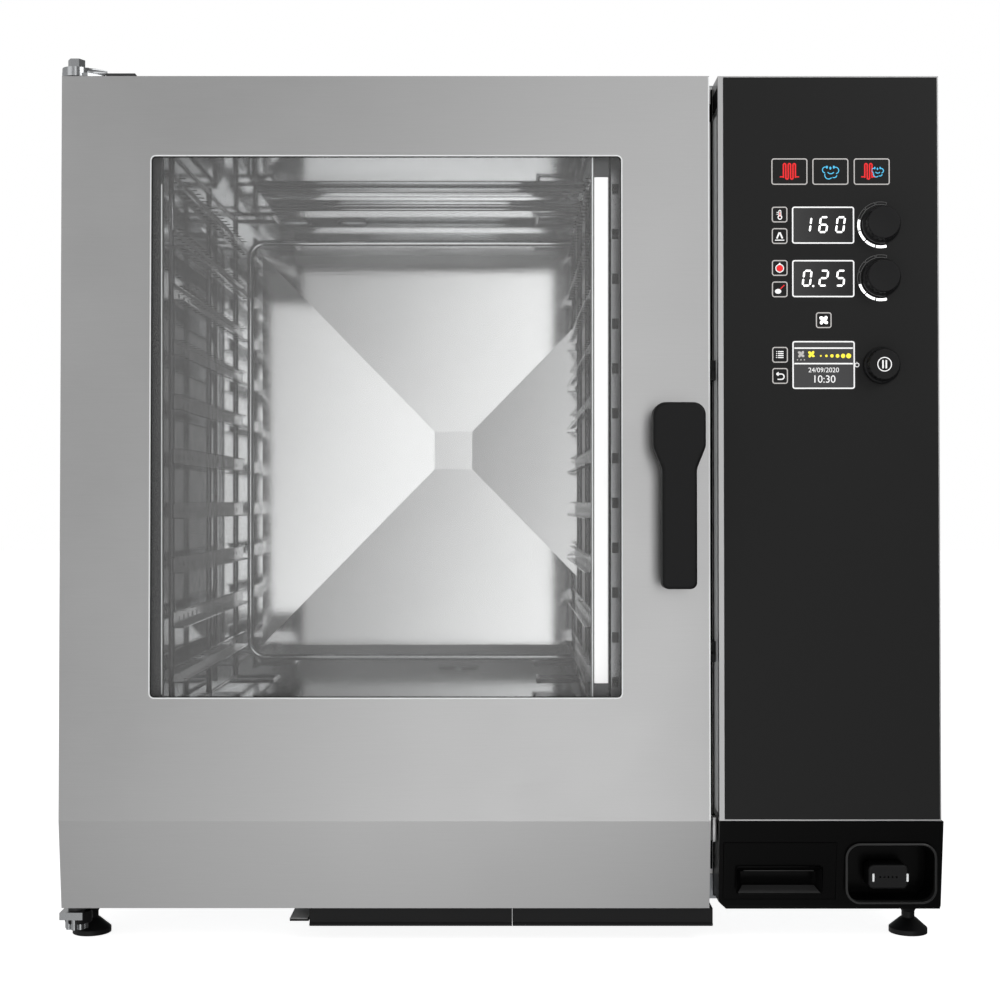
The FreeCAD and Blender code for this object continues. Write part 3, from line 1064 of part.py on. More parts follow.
def rear_connections():
    """Two threaded water inlets and the gland of the supply cable, in the rear panel."""
    d1 = BODY_DEPTH
    pieces = []
    for x, z in INLETS:
        nut = hexagon(34.0, (x, d1, z), (x, d1 + 8.0, z))
        thread = rod(INLET_R, (x, d1 - 12.0, z), (x, d1 + 28.0, z))
        valve = box(x - 20.0, x + 20.0, d1 - 60.0, d1 - 10.0, z - 20.0, z + 24.0)
        pieces.append(fuse([nut, thread, valve]).cut(rod(9.0, (x, d1 - 20.0, z), (x, d1 + 30.0, z))))
    x, z = GLAND
    nut = hexagon(36.0, (x, d1, z), (x, d1 + 8.0, z))
    dome = rod(GLAND_BORE_R + 4.0, (x, d1 - 12.0, z), (x, d1 + 24.0, z))
    locknut = hexagon(34.0, (x, d1 - 8.0, z), (x, d1 - SHEET, z))
    gland = fuse([nut, dome, locknut]).cut(rod(GLAND_BORE_R, (x, d1 - 20.0, z), (x, d1 + 30.0, z)))
    pieces.append(gland)
    return Part.makeCompound(pieces)


def power_terminals():
    """Mounting plate with contactors and the supply terminals, on the right side panel."""
    x1 = HALF - SHEET
    d0 = BODY_DEPTH - 240.0
    parts = [box(x1 - 3.0, x1, d0, d0 + 180.0, 240.0, 620.0)]
    for z in (260.0, 350.0):
        for i in range(3):
            parts.append(box(x1 - 63.0, x1 - 2.0, d0 + 12.0 + 56.0 * i, d0 + 58.0 + 56.0 * i, z, z + 74.0))
    for i in range(8):
        parts.append(box(x1 - 43.0, x1 - 2.0, d0 + 14.0 + 20.0 * i, d0 + 32.0 + 20.0 * i, 470.0, 540.0))
    return fuse(parts)


def panel_screws():
    """Pan-head screws of the side and rear panels."""
    screws = []
    for side in (-1, 1):
        for d, z in SIDE_SCREWS:
            head = rod(SCREW_HEAD_R, (side * HALF, d, z), (side * (HALF + SCREW_HEAD_HEIGHT), d, z))
            shank = rod(SCREW_SHANK_R, (side * (HALF - 8.0), d, z), (side * (HALF + 0.5), d, z))
            screws.append(head.fuse(shank))
    for x, z in REAR_SCREWS:
        head = rod(SCREW_HEAD_R, (x, BODY_DEPTH, z), (x, BODY_DEPTH + SCREW_HEAD_HEIGHT, z))
        shank = rod(SCREW_SHANK_R, (x, BODY_DEPTH - 8.0, z), (x, BODY_DEPTH + 0.5, z))
        screws.append(head.fuse(shank))
    return Part.makeCompound(screws)


def save(name, shape):
    """Write one sub-part to its own STEP file."""
    volumes = [s.Volume for s in shape.Solids]
    print(f"{name}: {len(volumes)} solids, {sum(volumes) / 1000.0:.1f} cm3, valid {shape.isValid()}")
    shape.exportStep(f"parts/{name}.step")


def main():
    """Build and save every sub-part."""
    os.makedirs("parts", exist_ok=True)
    save("base_chassis", base_chassis())
    save("left_side_panel", side_panel(-HALF))
    save("right_side_panel", side_panel(HALF - SHEET))
    for piece in (rear_panel, top_cover, front_frame, cavity_liner, cavity_back_wall, insulation,
                  drain_strainer, door_gasket, air_deflector, heater_coils, fan_motors, steam_nozzle,
                  door_skin, door_inner_frame, outer_glass, inner_glass, glass_hinge_strip,
                  light_housing, light_lens, door_bushes, handle_lever, latch_spindle, latch_catch,
                  column_shell, control_fascia, display_modules, control_board, knob_menu,
                  menu_knob_shaft, lower_housing, filter_drawer, spray_gun, hose_reel, feet,
                  hinge_brackets, drip_tray, vent_stacks, drain_pipe, rear_connections,
                  power_terminals, panel_screws):
        save(piece.__name__, piece())
    save("rack_left", rack(WEB_LEFT, 1))
    save("rack_right", rack(WEB_RIGHT, -1))
    save("fan_lower", fan(FAN_ZS[0]))
    save("fan_upper", fan(FAN_ZS[1]))
    for name, drop in KNOBS:
        save(name, turning_knob(drop))
    for name, dx, drop, size in BUTTONS:
        save(name, button(dx, drop, size))


main()
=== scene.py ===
"""Looks of a combi steamer oven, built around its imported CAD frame.

Everything is in metres in the frame's own axes: +X right, +Y back, +Z up, floor at zero.
"""

import json
import logging
import math
from collections.abc import Callable
from dataclasses import dataclass, field
from enum import Enum

import bmesh
import bpy
from mathutils import Matrix, Vector

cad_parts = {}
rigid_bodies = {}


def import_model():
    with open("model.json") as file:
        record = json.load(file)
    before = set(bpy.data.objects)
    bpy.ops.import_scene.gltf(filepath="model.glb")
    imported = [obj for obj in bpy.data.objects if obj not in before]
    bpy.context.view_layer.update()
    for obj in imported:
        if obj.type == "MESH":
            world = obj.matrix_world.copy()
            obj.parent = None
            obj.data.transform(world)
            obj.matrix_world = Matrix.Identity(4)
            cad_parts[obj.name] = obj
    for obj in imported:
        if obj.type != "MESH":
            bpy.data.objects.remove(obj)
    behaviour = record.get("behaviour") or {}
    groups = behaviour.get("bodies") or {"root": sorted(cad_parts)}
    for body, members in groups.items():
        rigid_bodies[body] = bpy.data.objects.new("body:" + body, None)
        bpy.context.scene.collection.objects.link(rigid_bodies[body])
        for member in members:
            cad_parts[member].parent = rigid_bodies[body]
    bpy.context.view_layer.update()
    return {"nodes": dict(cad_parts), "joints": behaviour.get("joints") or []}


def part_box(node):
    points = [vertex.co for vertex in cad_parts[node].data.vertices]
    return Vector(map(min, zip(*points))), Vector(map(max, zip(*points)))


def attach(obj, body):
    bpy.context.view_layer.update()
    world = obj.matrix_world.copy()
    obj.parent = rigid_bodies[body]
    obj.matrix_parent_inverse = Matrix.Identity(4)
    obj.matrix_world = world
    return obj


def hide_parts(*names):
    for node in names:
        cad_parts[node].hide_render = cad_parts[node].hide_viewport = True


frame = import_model()
LOG = logging.getLogger("oven")
MM = 0.001
# A quarter turn.
QUARTER = math.radians(90.0)
# Corners of a rounded rectangle: side along X, side along Y and the angle at which its arc starts.
CORNERS = ((1, 1, 0.0), (-1, 1, 90.0), (-1, -1, 180.0), (1, -1, 270.0))
# Two noises added up stay between these values nearly everywhere.
NOISE_ENDS = (0.6, 1.4)
# Depth of a mark, as a share of its width.
MARK_DEPTH = 0.3


# ------------------------------------------------------------------ colours and shader nodes
def linear(hex_colour: str, alpha: float = 1.0) -> tuple[float, float, float, float]:
    """Turn an sRGB hex colour into linear values.

    Args:
        hex_colour: Colour such as "#c4c6c8".
        alpha: Value of the fourth channel.

    Returns:
        Linear red, green, blue and the alpha.
    """
    values = []
    for start in (1, 3, 5):
        share = int(hex_colour[start:start + 2], 16) / 255.0
        values.append(share / 12.92 if share <= 0.04045 else ((share + 0.055) / 1.055) ** 2.4)
    return values[0], values[1], values[2], alpha


def add_node(tree: bpy.types.NodeTree, kind: str, settings: dict | None = None,
             values: dict | None = None, links: dict | None = None) -> bpy.types.Node:
    """Add one node with its settings, socket values and incoming links.

    Args:
        tree: Node tree that takes the node.
        kind: Blender's node type name, without its first word.
        settings: Attributes of the node.
        values: Default values by input name or number.
        links: Source sockets by input name or number.

    Returns:
        The new node.
    """
    node = tree.nodes.new("ShaderNode" + kind)
    for name, value in (settings or {}).items():
        setattr(node, name, value)
    for socket, value in (values or {}).items():
        node.inputs[socket].default_value = value
    for socket, source in (links or {}).items():
        tree.links.new(source, node.inputs[socket])
    return node


def calculate(tree: bpy.types.NodeTree, operation: str,
              *inputs: float | bpy.types.NodeSocket) -> bpy.types.NodeSocket:
    """Add one step of arithmetic.

    Args:
        tree: Node tree that takes the node.
        operation: Blender's name of the operation.
        inputs: Plain numbers and source sockets, in order.

    Returns:
        The socket of the result.
    """
    node = add_node(tree, "Math", {"operation": operation})
    for number, item in enumerate(inputs):
        if isinstance(item, float):
            node.inputs[number].default_value = item
        else:
            tree.links.new(item, node.inputs[number])
    return node.outputs[0]


def map_range(tree: bpy.types.NodeTree, source: bpy.types.NodeSocket, ends: tuple[float, float],
              levels: tuple[float, float], step: str = "LINEAR") -> bpy.types.NodeSocket:
    """Map a value between two ends to two levels."""
    return add_node(tree, "MapRange", {"interpolation_type": step}, {
        "From Min": ends[0], "From Max": ends[1], "To Min": levels[0], "To Max": levels[1]},
        {"Value": source}).outputs[0]


class Grain(Enum):
    """Direction in which a surface's fine marks run; the number is the stretched axis."""

    ALONG_X = 0
    ALONG_Z = 2
    EVEN = 3


@dataclass(frozen=True)
class Finish:
    """A finish made by one process, with marks of a real size on top of its plain colour."""

    name: str
    colour: str
    roughness: float
    metallic: float = 0.0
    grain: Grain = Grain.EVEN
    grain_mm: float = 1.5
    grain_stretch: float = 40.0
    colour_spread: float = 0.06
    roughness_spread: float = 0.08
    bump: float = 0.05
    cloud_mm: float = 120.0
    alpha: float = 1.0
    coat: float = 0.0
    coat_roughness: float = 0.1
    glow: float = 0.0
    ior: float = 1.5

    def material(self) -> bpy.types.Material:
        """Build the material once and hand out the same one afterwards.

        Returns:
            The node-based material.
        """
        found = bpy.data.materials.get(self.name)
        if found:
            return found
        made = bpy.data.materials.new(self.name)
        made.use_nodes = True
        tree = made.node_tree
        tree.nodes.clear()
        shader = add_node(tree, "BsdfPrincipled", values={
            "Metallic": self.metallic, "Alpha": self.alpha, "Coat Weight": self.coat,
            "Coat Roughness": self.coat_roughness, "IOR": self.ior})
        where = add_node(tree, "TexCoord").outputs["Object"]
        fine = self.marks(tree, where)
        cloud = add_node(tree, "TexNoise", values={
            "Scale": 1.0 / (self.cloud_mm * MM), "Detail": 3.0, "Roughness": 0.5}, links={"Vector": where})
        both = calculate(tree, "ADD", fine.outputs["Fac"], cloud.outputs["Fac"])
        dark, light = self.colour_ends()
        tint = map_range(tree, both, NOISE_ENDS, (0.0, 1.0))
        colour = add_node(tree, "Mix", {"data_type": "RGBA"}, {6: dark, 7: light}, {0: tint})
        half = self.roughness_spread / 2
        rough = map_range(tree, both, NOISE_ENDS, (max(0.0, self.roughness - half), self.roughness + half))
        relief = add_node(tree, "Bump", values={
            "Strength": self.bump, "Distance": self.grain_mm * MM * MARK_DEPTH}, links={
                "Height": fine.outputs["Fac"]})
        tree.links.new(colour.outputs[2], shader.inputs["Base Color"])
        tree.links.new(rough, shader.inputs["Roughness"])
        tree.links.new(relief.outputs[0], shader.inputs["Normal"])
        if self.glow > 0.0:
            shader.inputs["Emission Color"].default_value = linear(self.colour)
            shader.inputs["Emission Strength"].default_value = self.glow
        add_node(tree, "OutputMaterial", links={"Surface": shader.outputs[0]})
        return made

    def marks(self, tree: bpy.types.NodeTree, where: bpy.types.NodeSocket) -> bpy.types.Node:
        """Add the fine noise, drawn out along the grain.

        Args:
            tree: Node tree of the material.
            where: Socket of the object's own coordinates.

        Returns:
            The noise node.
        """
        size = [1.0 / (self.grain_mm * MM)] * 3
        if self.grain is not Grain.EVEN:
            size[self.grain.value] /= self.grain_stretch
        scaled = add_node(tree, "Mapping", values={"Scale": size}, links={"Vector": where})
        return add_node(tree, "TexNoise", values={"Scale": 1.0, "Detail": 4.0, "Roughness": 0.6},
                        links={"Vector": scaled.outputs[0]})

    def colour_ends(self) -> tuple[tuple, tuple]:
        """Give the two ends of the colour's spread.

        Returns:
            The darker and the lighter end, as linear values.
        """
        base = linear(self.colour)
        dark = tuple(c * (1.0 - self.colour_spread) for c in base[:3]) + (1.0,)
        light = tuple(min(1.0, c * (1.0 + self.colour_spread)) for c in base[:3]) + (1.0,)
        return dark, light


# Satin stainless sheet: fine belt grinding along the sheet blurs reflections one way; upright on the sides.
SATIN_STEEL = Finish("satin_stainless_sheet", "#cfcfcf", 0.34, 1.0, Grain.ALONG_X, 0.8, 60.0, 0.035, 0.06, 0.03)
SATIN_STEEL_SIDE = Finish("satin_stainless_side_sheet", "#c3c4c6", 0.38, 1.0, Grain.ALONG_Z, 0.8, 60.0, 0.04, 0.06,
                          0.04)
REAR_STEEL = Finish("satin_stainless_rear", "#b5b7b9", 0.42, 1.0, Grain.ALONG_Z, 0.8, 60.0, 0.05, 0.06, 0.04)
# Bright-rolled stainless of the chamber: nearly a mirror, with faint rolling lines and wipe marks.
POLISHED_STEEL = Finish("bright_rolled_stainless", "#b4b6b7", 0.05, 1.0, Grain.ALONG_Z, 2.5, 80.0, 0.05, 0.05, 0.03)
# The pressed back wall is the same sheet, in a lighter colour than the chamber's: painted sheen for the bright
# reflections of its four slopes.
PRESSED_STEEL_PAINTED_SHEEN = Finish("pressed_bright_stainless", "#dedfdf", 0.08, 1.0, Grain.ALONG_X, 3.0, 30.0, 0.03, 0.06, 0.02)
# Electropolished rod and strip of the racks, in a darker colour than the chamber steel: painted shade for the dark
# reflections that make them grey against the walls behind.
WIRE_STEEL_PAINTED_SHADE = Finish("electropolished_stainless", "#6a6b6c", 0.09, 1.0, Grain.EVEN, 1.2, 1.0, 0.05, 0.08, 0.03)
# Zinc-coated sheet shows soft spangle.
ZINC_SHEET = Finish("zinc_coated_sheet", "#a9adb0", 0.42, 1.0, Grain.EVEN, 9.0, 1.0, 0.12, 0.12, 0.02)
# Mineral wool: matted fibres, no shine.
MINERAL_WOOL = Finish("mineral_wool", "#a8925e", 0.95, 0.0, Grain.ALONG_X, 2.0, 6.0, 0.35, 0.05, 0.8)
# Silicone seal: smooth, dull, slightly dusty.
SEAL_RUBBER = Finish("moulded_silicone", "#2b2b2c", 0.55, 0.0, Grain.EVEN, 1.0, 1.0, 0.15, 0.1, 0.1)
# Heating element: oxidised nickel alloy after many hours red hot.
HEATER_ALLOY = Finish("oxidised_heater_alloy", "#4a4542", 0.5, 0.8, Grain.EVEN, 3.0, 1.0, 0.25, 0.15, 0.1)
# Painted casting: dull and slightly pitted.
MOTOR_PAINT = Finish("painted_casting", "#34373a", 0.5, 0.0, Grain.EVEN, 1.5, 1.0, 0.1, 0.1, 0.3)
# Pressed stainless of fans and deflector: even, a little duller than the walls.
FAN_STEEL = Finish("pressed_stainless", "#bfc0c2", 0.3, 1.0, Grain.EVEN, 1.5, 1.0, 0.05, 0.08, 0.03)
# Tempered glass: almost invisible from the front.
CLEAR_GLASS = Finish("tempered_glass", "#ffffff", 0.02, 0.0, colour_spread=0.0, roughness_spread=0.0, bump=0.0,
                     alpha=0.04)
# Anodised strips: dark grey with a silky sheen along them.
GREY_ANODISED = Finish("grey_anodised_aluminium", "#4a4b4c", 0.4, 0.6, Grain.ALONG_Z, 0.7, 60.0, 0.06, 0.08, 0.05)
# Opal lens lit from behind: one even pale band.
LIT_LENS = Finish("lit_opal_lens", "#dcdcdc", 0.3, glow=0.75, bump=0.0, colour_spread=0.01)
# Injection-moulded black polyamide with a spark-eroded texture.
BLACK_MOULDING = Finish("moulded_black_polyamide", "#0d0d0e", 0.5, 0.0, Grain.EVEN, 0.5, 1.0, 0.12, 0.08, 0.18,
                        ior=1.4)
# Gloss-free black film over the control panel: an even dark grey without reflections.
BLACK_FILM = Finish("printed_black_film", "#191919", 0.45, 0.0, Grain.EVEN, 0.4, 1.0, 0.06, 0.06, 0.04, ior=1.35)
# Glossier moulding of the lower box: near black, with soft highlights on its edges.
BLACK_BOX = Finish("moulded_black_gloss_abs", "#040404", 0.3, 0.0, Grain.EVEN, 0.6, 1.0, 0.1, 0.05, 0.03, ior=1.2)
# Glossy window over the displays: deeper black than the film round it.
BLACK_GLOSS = Finish("gloss_black_window", "#0b0b0c", 0.12, 0.0, Grain.EVEN, 0.6, 1.0, 0.1, 0.04, 0.01, coat=0.5)
# Acetal bushes: waxy dark grey.
BUSH_PLASTIC = Finish("acetal_bush", "#3a3a3b", 0.45, 0.0, Grain.EVEN, 0.8, 1.0, 0.08, 0.08, 0.05)
# Green solder resist of a circuit board.
BOARD_RESIN = Finish("board_solder_resist", "#0f4a26", 0.35, 0.0, Grain.EVEN, 3.0, 1.0, 0.2, 0.1, 0.1)
# Nickel-plated brass: bright with a warm cast.
PLATED_BRASS = Finish("nickel_plated_brass", "#b9b09a", 0.28, 1.0, Grain.EVEN, 1.0, 1.0, 0.06, 0.1, 0.05)
# Turned stainless: small bright parts with sharp highlights.
SCREW_STEEL = Finish("turned_stainless", "#c6c8ca", 0.22, 1.0, Grain.EVEN, 0.6, 1.0, 0.06, 0.1, 0.05)

NODE_FINISH = {
    "base_chassis": ZINC_SHEET, "left_side_panel": SATIN_STEEL_SIDE, "right_side_panel": SATIN_STEEL_SIDE,
    "rear_panel": REAR_STEEL, "top_cover": REAR_STEEL, "front_frame": SATIN_STEEL,
    # The back wall's finish holds painted sheen.
    "cavity_liner": POLISHED_STEEL, "cavity_back_wall": PRESSED_STEEL_PAINTED_SHEEN, "insulation": MINERAL_WOOL,
    # The rack and nozzle steel below carries painted shade.
    "drain_strainer": POLISHED_STEEL, "door_gasket": SEAL_RUBBER, "rack_left": WIRE_STEEL_PAINTED_SHADE,
    "rack_right": WIRE_STEEL_PAINTED_SHADE, "air_deflector": FAN_STEEL, "heater_coils": HEATER_ALLOY,
    "fan_motors": MOTOR_PAINT, "steam_nozzle": WIRE_STEEL_PAINTED_SHADE, "column_shell": SATIN_STEEL,
    "control_fascia": BLACK_FILM, "display_modules": BLACK_GLOSS, "control_board": BOARD_RESIN,
    "lower_housing": BLACK_BOX, "hose_reel": BLACK_MOULDING, "feet": BLACK_MOULDING,
    "hinge_brackets": SCREW_STEEL, "latch_catch": BLACK_MOULDING, "drip_tray": BLACK_MOULDING,
    "vent_stacks": SATIN_STEEL_SIDE, "drain_pipe": SATIN_STEEL_SIDE, "rear_connections": PLATED_BRASS,
    "power_terminals": BLACK_MOULDING, "panel_screws": SCREW_STEEL, "door_skin": SATIN_STEEL,
    "door_inner_frame": SATIN_STEEL, "outer_glass": CLEAR_GLASS, "inner_glass": CLEAR_GLASS,
    "glass_hinge_strip": GREY_ANODISED, "light_housing": GREY_ANODISED, "light_lens": LIT_LENS,
    "door_bushes": BUSH_PLASTIC, "handle_lever": BLACK_MOULDING, "latch_spindle": SCREW_STEEL,
    "knob_temperature": BLACK_MOULDING, "knob_time": BLACK_MOULDING, "knob_menu": BLACK_MOULDING,
    "menu_knob_shaft": SCREW_STEEL, "filter_drawer": BLACK_BOX, "spray_gun": BLACK_MOULDING,
    "fan_lower": FAN_STEEL, "fan_upper": FAN_STEEL,
}


def dress_cad_nodes() -> None:
    """Give every CAD node the finish of the real piece."""
    for name, node in frame["nodes"].items():
        finish = BLACK_FILM if name.startswith("button_") else NODE_FINISH[name]
        node.data.materials.clear()
        node.data.materials.append(finish.material())


# ------------------------------------------------------------------ mesh helpers
def add_object(name: str, data: bpy.types.ID) -> bpy.types.Object:
    """Put a new object in the scene.

    Args:
        name: Name of the object.
        data: Its mesh, camera or light.

    Returns:
        The new object.
    """
    made = bpy.data.objects.new(name, data)
    bpy.context.scene.collection.objects.link(made)
    return made


def make_piece(name: str, shape: bmesh.types.BMesh, where: Matrix, finish: Finish, body: str,
               smooth_deg: float = 35.0) -> bpy.types.Object:
    """Turn a finished bmesh into a piece that rides on a body.

    Args:
        name: Name of the piece.
        shape: The bmesh in millimetres about its own origin; it is freed here.
        where: Rigid matrix that puts the origin in place, in metres.
        finish: Its finish.
        body: CAD body that carries it.
        smooth_deg: Edges flatter than this are shaded smooth.

    Returns:
        The new object.
    """
    shape.transform(where @ Matrix.Scale(MM, 4))
    mesh = bpy.data.meshes.new(name)
    shape.to_mesh(mesh)
    shape.free()
    mesh.shade_smooth()
    mesh.set_sharp_from_angle(angle=math.radians(smooth_deg))
    mesh.materials.append(finish.material())
    piece = add_object(name, mesh)
    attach(piece, body)
    return piece


def join(target: bmesh.types.BMesh, other: bmesh.types.BMesh) -> None:
    """Copy one bmesh into another and free it.

    Args:
        target: The bmesh that grows.
        other: The bmesh that is copied and freed.
    """
    scratch = bpy.data.meshes.new("scratch")
    other.to_mesh(scratch)
    other.free()
    target.from_mesh(scratch)
    bpy.data.meshes.remove(scratch)


def lathe(profile: list[tuple[float, float]], steps: int = 64) -> bmesh.types.BMesh:
    """Turn a profile about the local Z axis.

    Args:
        profile: Radius and height of each point, from one end to the other.
        steps: Number of faces round the turn.

    Returns:
        The turned shape, faces outwards.
    """
    shape = bmesh.new()
    points = [shape.verts.new((radius, 0.0, height)) for radius, height in profile]
    edges = [shape.edges.new(pair) for pair in zip(points, points[1:])]
    bmesh.ops.spin(shape, geom=points + edges, cent=(0, 0, 0), axis=(0, 0, 1), angle=math.tau,
                   steps=steps, use_merge=True)
    bmesh.ops.remove_doubles(shape, verts=shape.verts, dist=1e-6)
    bmesh.ops.recalc_face_normals(shape, faces=shape.faces)
    return shape


def rounded_block(size: tuple[float, float, float], radius: float, segments: int = 3) -> bmesh.types.BMesh:
    """Box about the local origin with every edge rounded.

    Args:
        size: Whole lengths along the local axes.
        radius: Radius of the edges.
        segments: Faces across each rounding.

    Returns:
        The rounded box.
    """
    shape = bmesh.new()
    bmesh.ops.create_cube(shape, size=1.0)
    bmesh.ops.scale(shape, vec=size, verts=shape.verts)
    bmesh.ops.bevel(shape, geom=list(shape.edges), offset=radius, offset_type="OFFSET", affect="EDGES",
                    segments=segments, profile=0.5, material=-1)
    return shape


def make_block(name: str, size: tuple[float, float, float], radius: float, place: tuple[float, float, float],
               finish: Finish, body: str, segments: int = 2) -> bpy.types.Object:
    """Make one rounded block a piece."""
    return make_piece(name, rounded_block(size, radius, segments), Matrix.Translation(place), finish, body)


def pinch(shape: bmesh.types.BMesh, beyond: float, above: float,
          depth: Callable[[float, float], float]) -> None:
    """Draw the rim of a turned shape inwards, to a different depth at every angle.

    Args:
        shape: The shape, turned about its local Z axis.
        beyond: Only points farther from the axis than this move.
        above: Only points higher than this move.
        depth: Depth for an angle in radians and a distance from the axis.
    """
    for vert in shape.verts:
        reach = math.hypot(vert.co.x, vert.co.y)
        if reach > beyond and vert.co.z > above:
            share = 1.0 - depth(math.atan2(vert.co.y, vert.co.x), reach) / reach
            vert.co.x *= share
            vert.co.y *= share


def swept_ring(width: float, height: float, corner: float, section: list[tuple[float, float]],
               corner_steps: int = 10) -> bmesh.types.BMesh:
    """Sweep a closed section round a rounded rectangle that lies in the local XY plane.

    Args:
        width: Length of the path along local X.
        height: Length of the path along local Y.
        corner: Corner radius of the path.
        section: Points as (outwards, lift), in order round the section.
        corner_steps: Faces round each corner.

    Returns:
        The closed ring.
    """
    shape = bmesh.new()
    loops = []
    for sx, sy, start in CORNERS:
        for step in range(corner_steps + 1):
            turn = math.radians(start + 90.0 * step / corner_steps)
            x0, y0 = sx * (width / 2 - corner), sy * (height / 2 - corner)
            loops.append([shape.verts.new((x0 + (corner + out) * math.cos(turn),
                                           y0 + (corner + out) * math.sin(turn), lift)) for out, lift in section])
    for i, loop in enumerate(loops):
        after = loops[(i + 1) % len(loops)]
        for j in range(len(section)):
            k = (j + 1) % len(section)
            shape.faces.new((loop[j], after[j], after[k], loop[k]))
    bmesh.ops.recalc_face_normals(shape, faces=shape.faces)
    return shape


def facing(x: float, y: float, z: float) -> Matrix:
    """Stand the local XY plane upright at a place, looking to the front."""
    return Matrix.Translation((x, y, z)) @ Matrix.Rotation(QUARTER, 4, "X")


class LeaningFront:
    """The leaning plane of the control panel: u to the right, v up along it, w out of it."""

    def __init__(self) -> None:
        """Read the lean from the push direction of a key and the place from the fascia."""
        press = next(j for j in frame["joints"] if j["name"].endswith("_press"))
        self.inwards = Vector(press["axis"]).normalized()
        self.up = Vector((1, 0, 0)).cross(self.inwards)
        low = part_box("control_fascia")[0]
        self.origin = Vector((0.0, low.y, low.z))

    def at(self, x: float, z: float, lift: float = 0.0) -> Matrix:
        """Matrix that puts local X, Y, Z at a place of the plane, as u, v and w.

        Args:
            x: Frame X of the place.
            z: Frame height of the place.
            lift: Distance in front of the plane.

        Returns:
            A rigid transform.
        """
        rise = (z - self.origin.z) / self.up.z
        place = self.origin + Vector((x, 0, 0)) + self.up * rise - self.inwards * lift
        turn = Matrix((Vector((1, 0, 0)), self.up, -self.inwards)).transposed().to_4x4()
        return Matrix.Translation(place) @ turn

    def middle(self, node: str) -> tuple[float, float]:
        """Find the middle of a CAD node, seen from the front."""
        low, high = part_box(node)
        return (low.x + high.x) / 2, (low.z + high.z) / 2


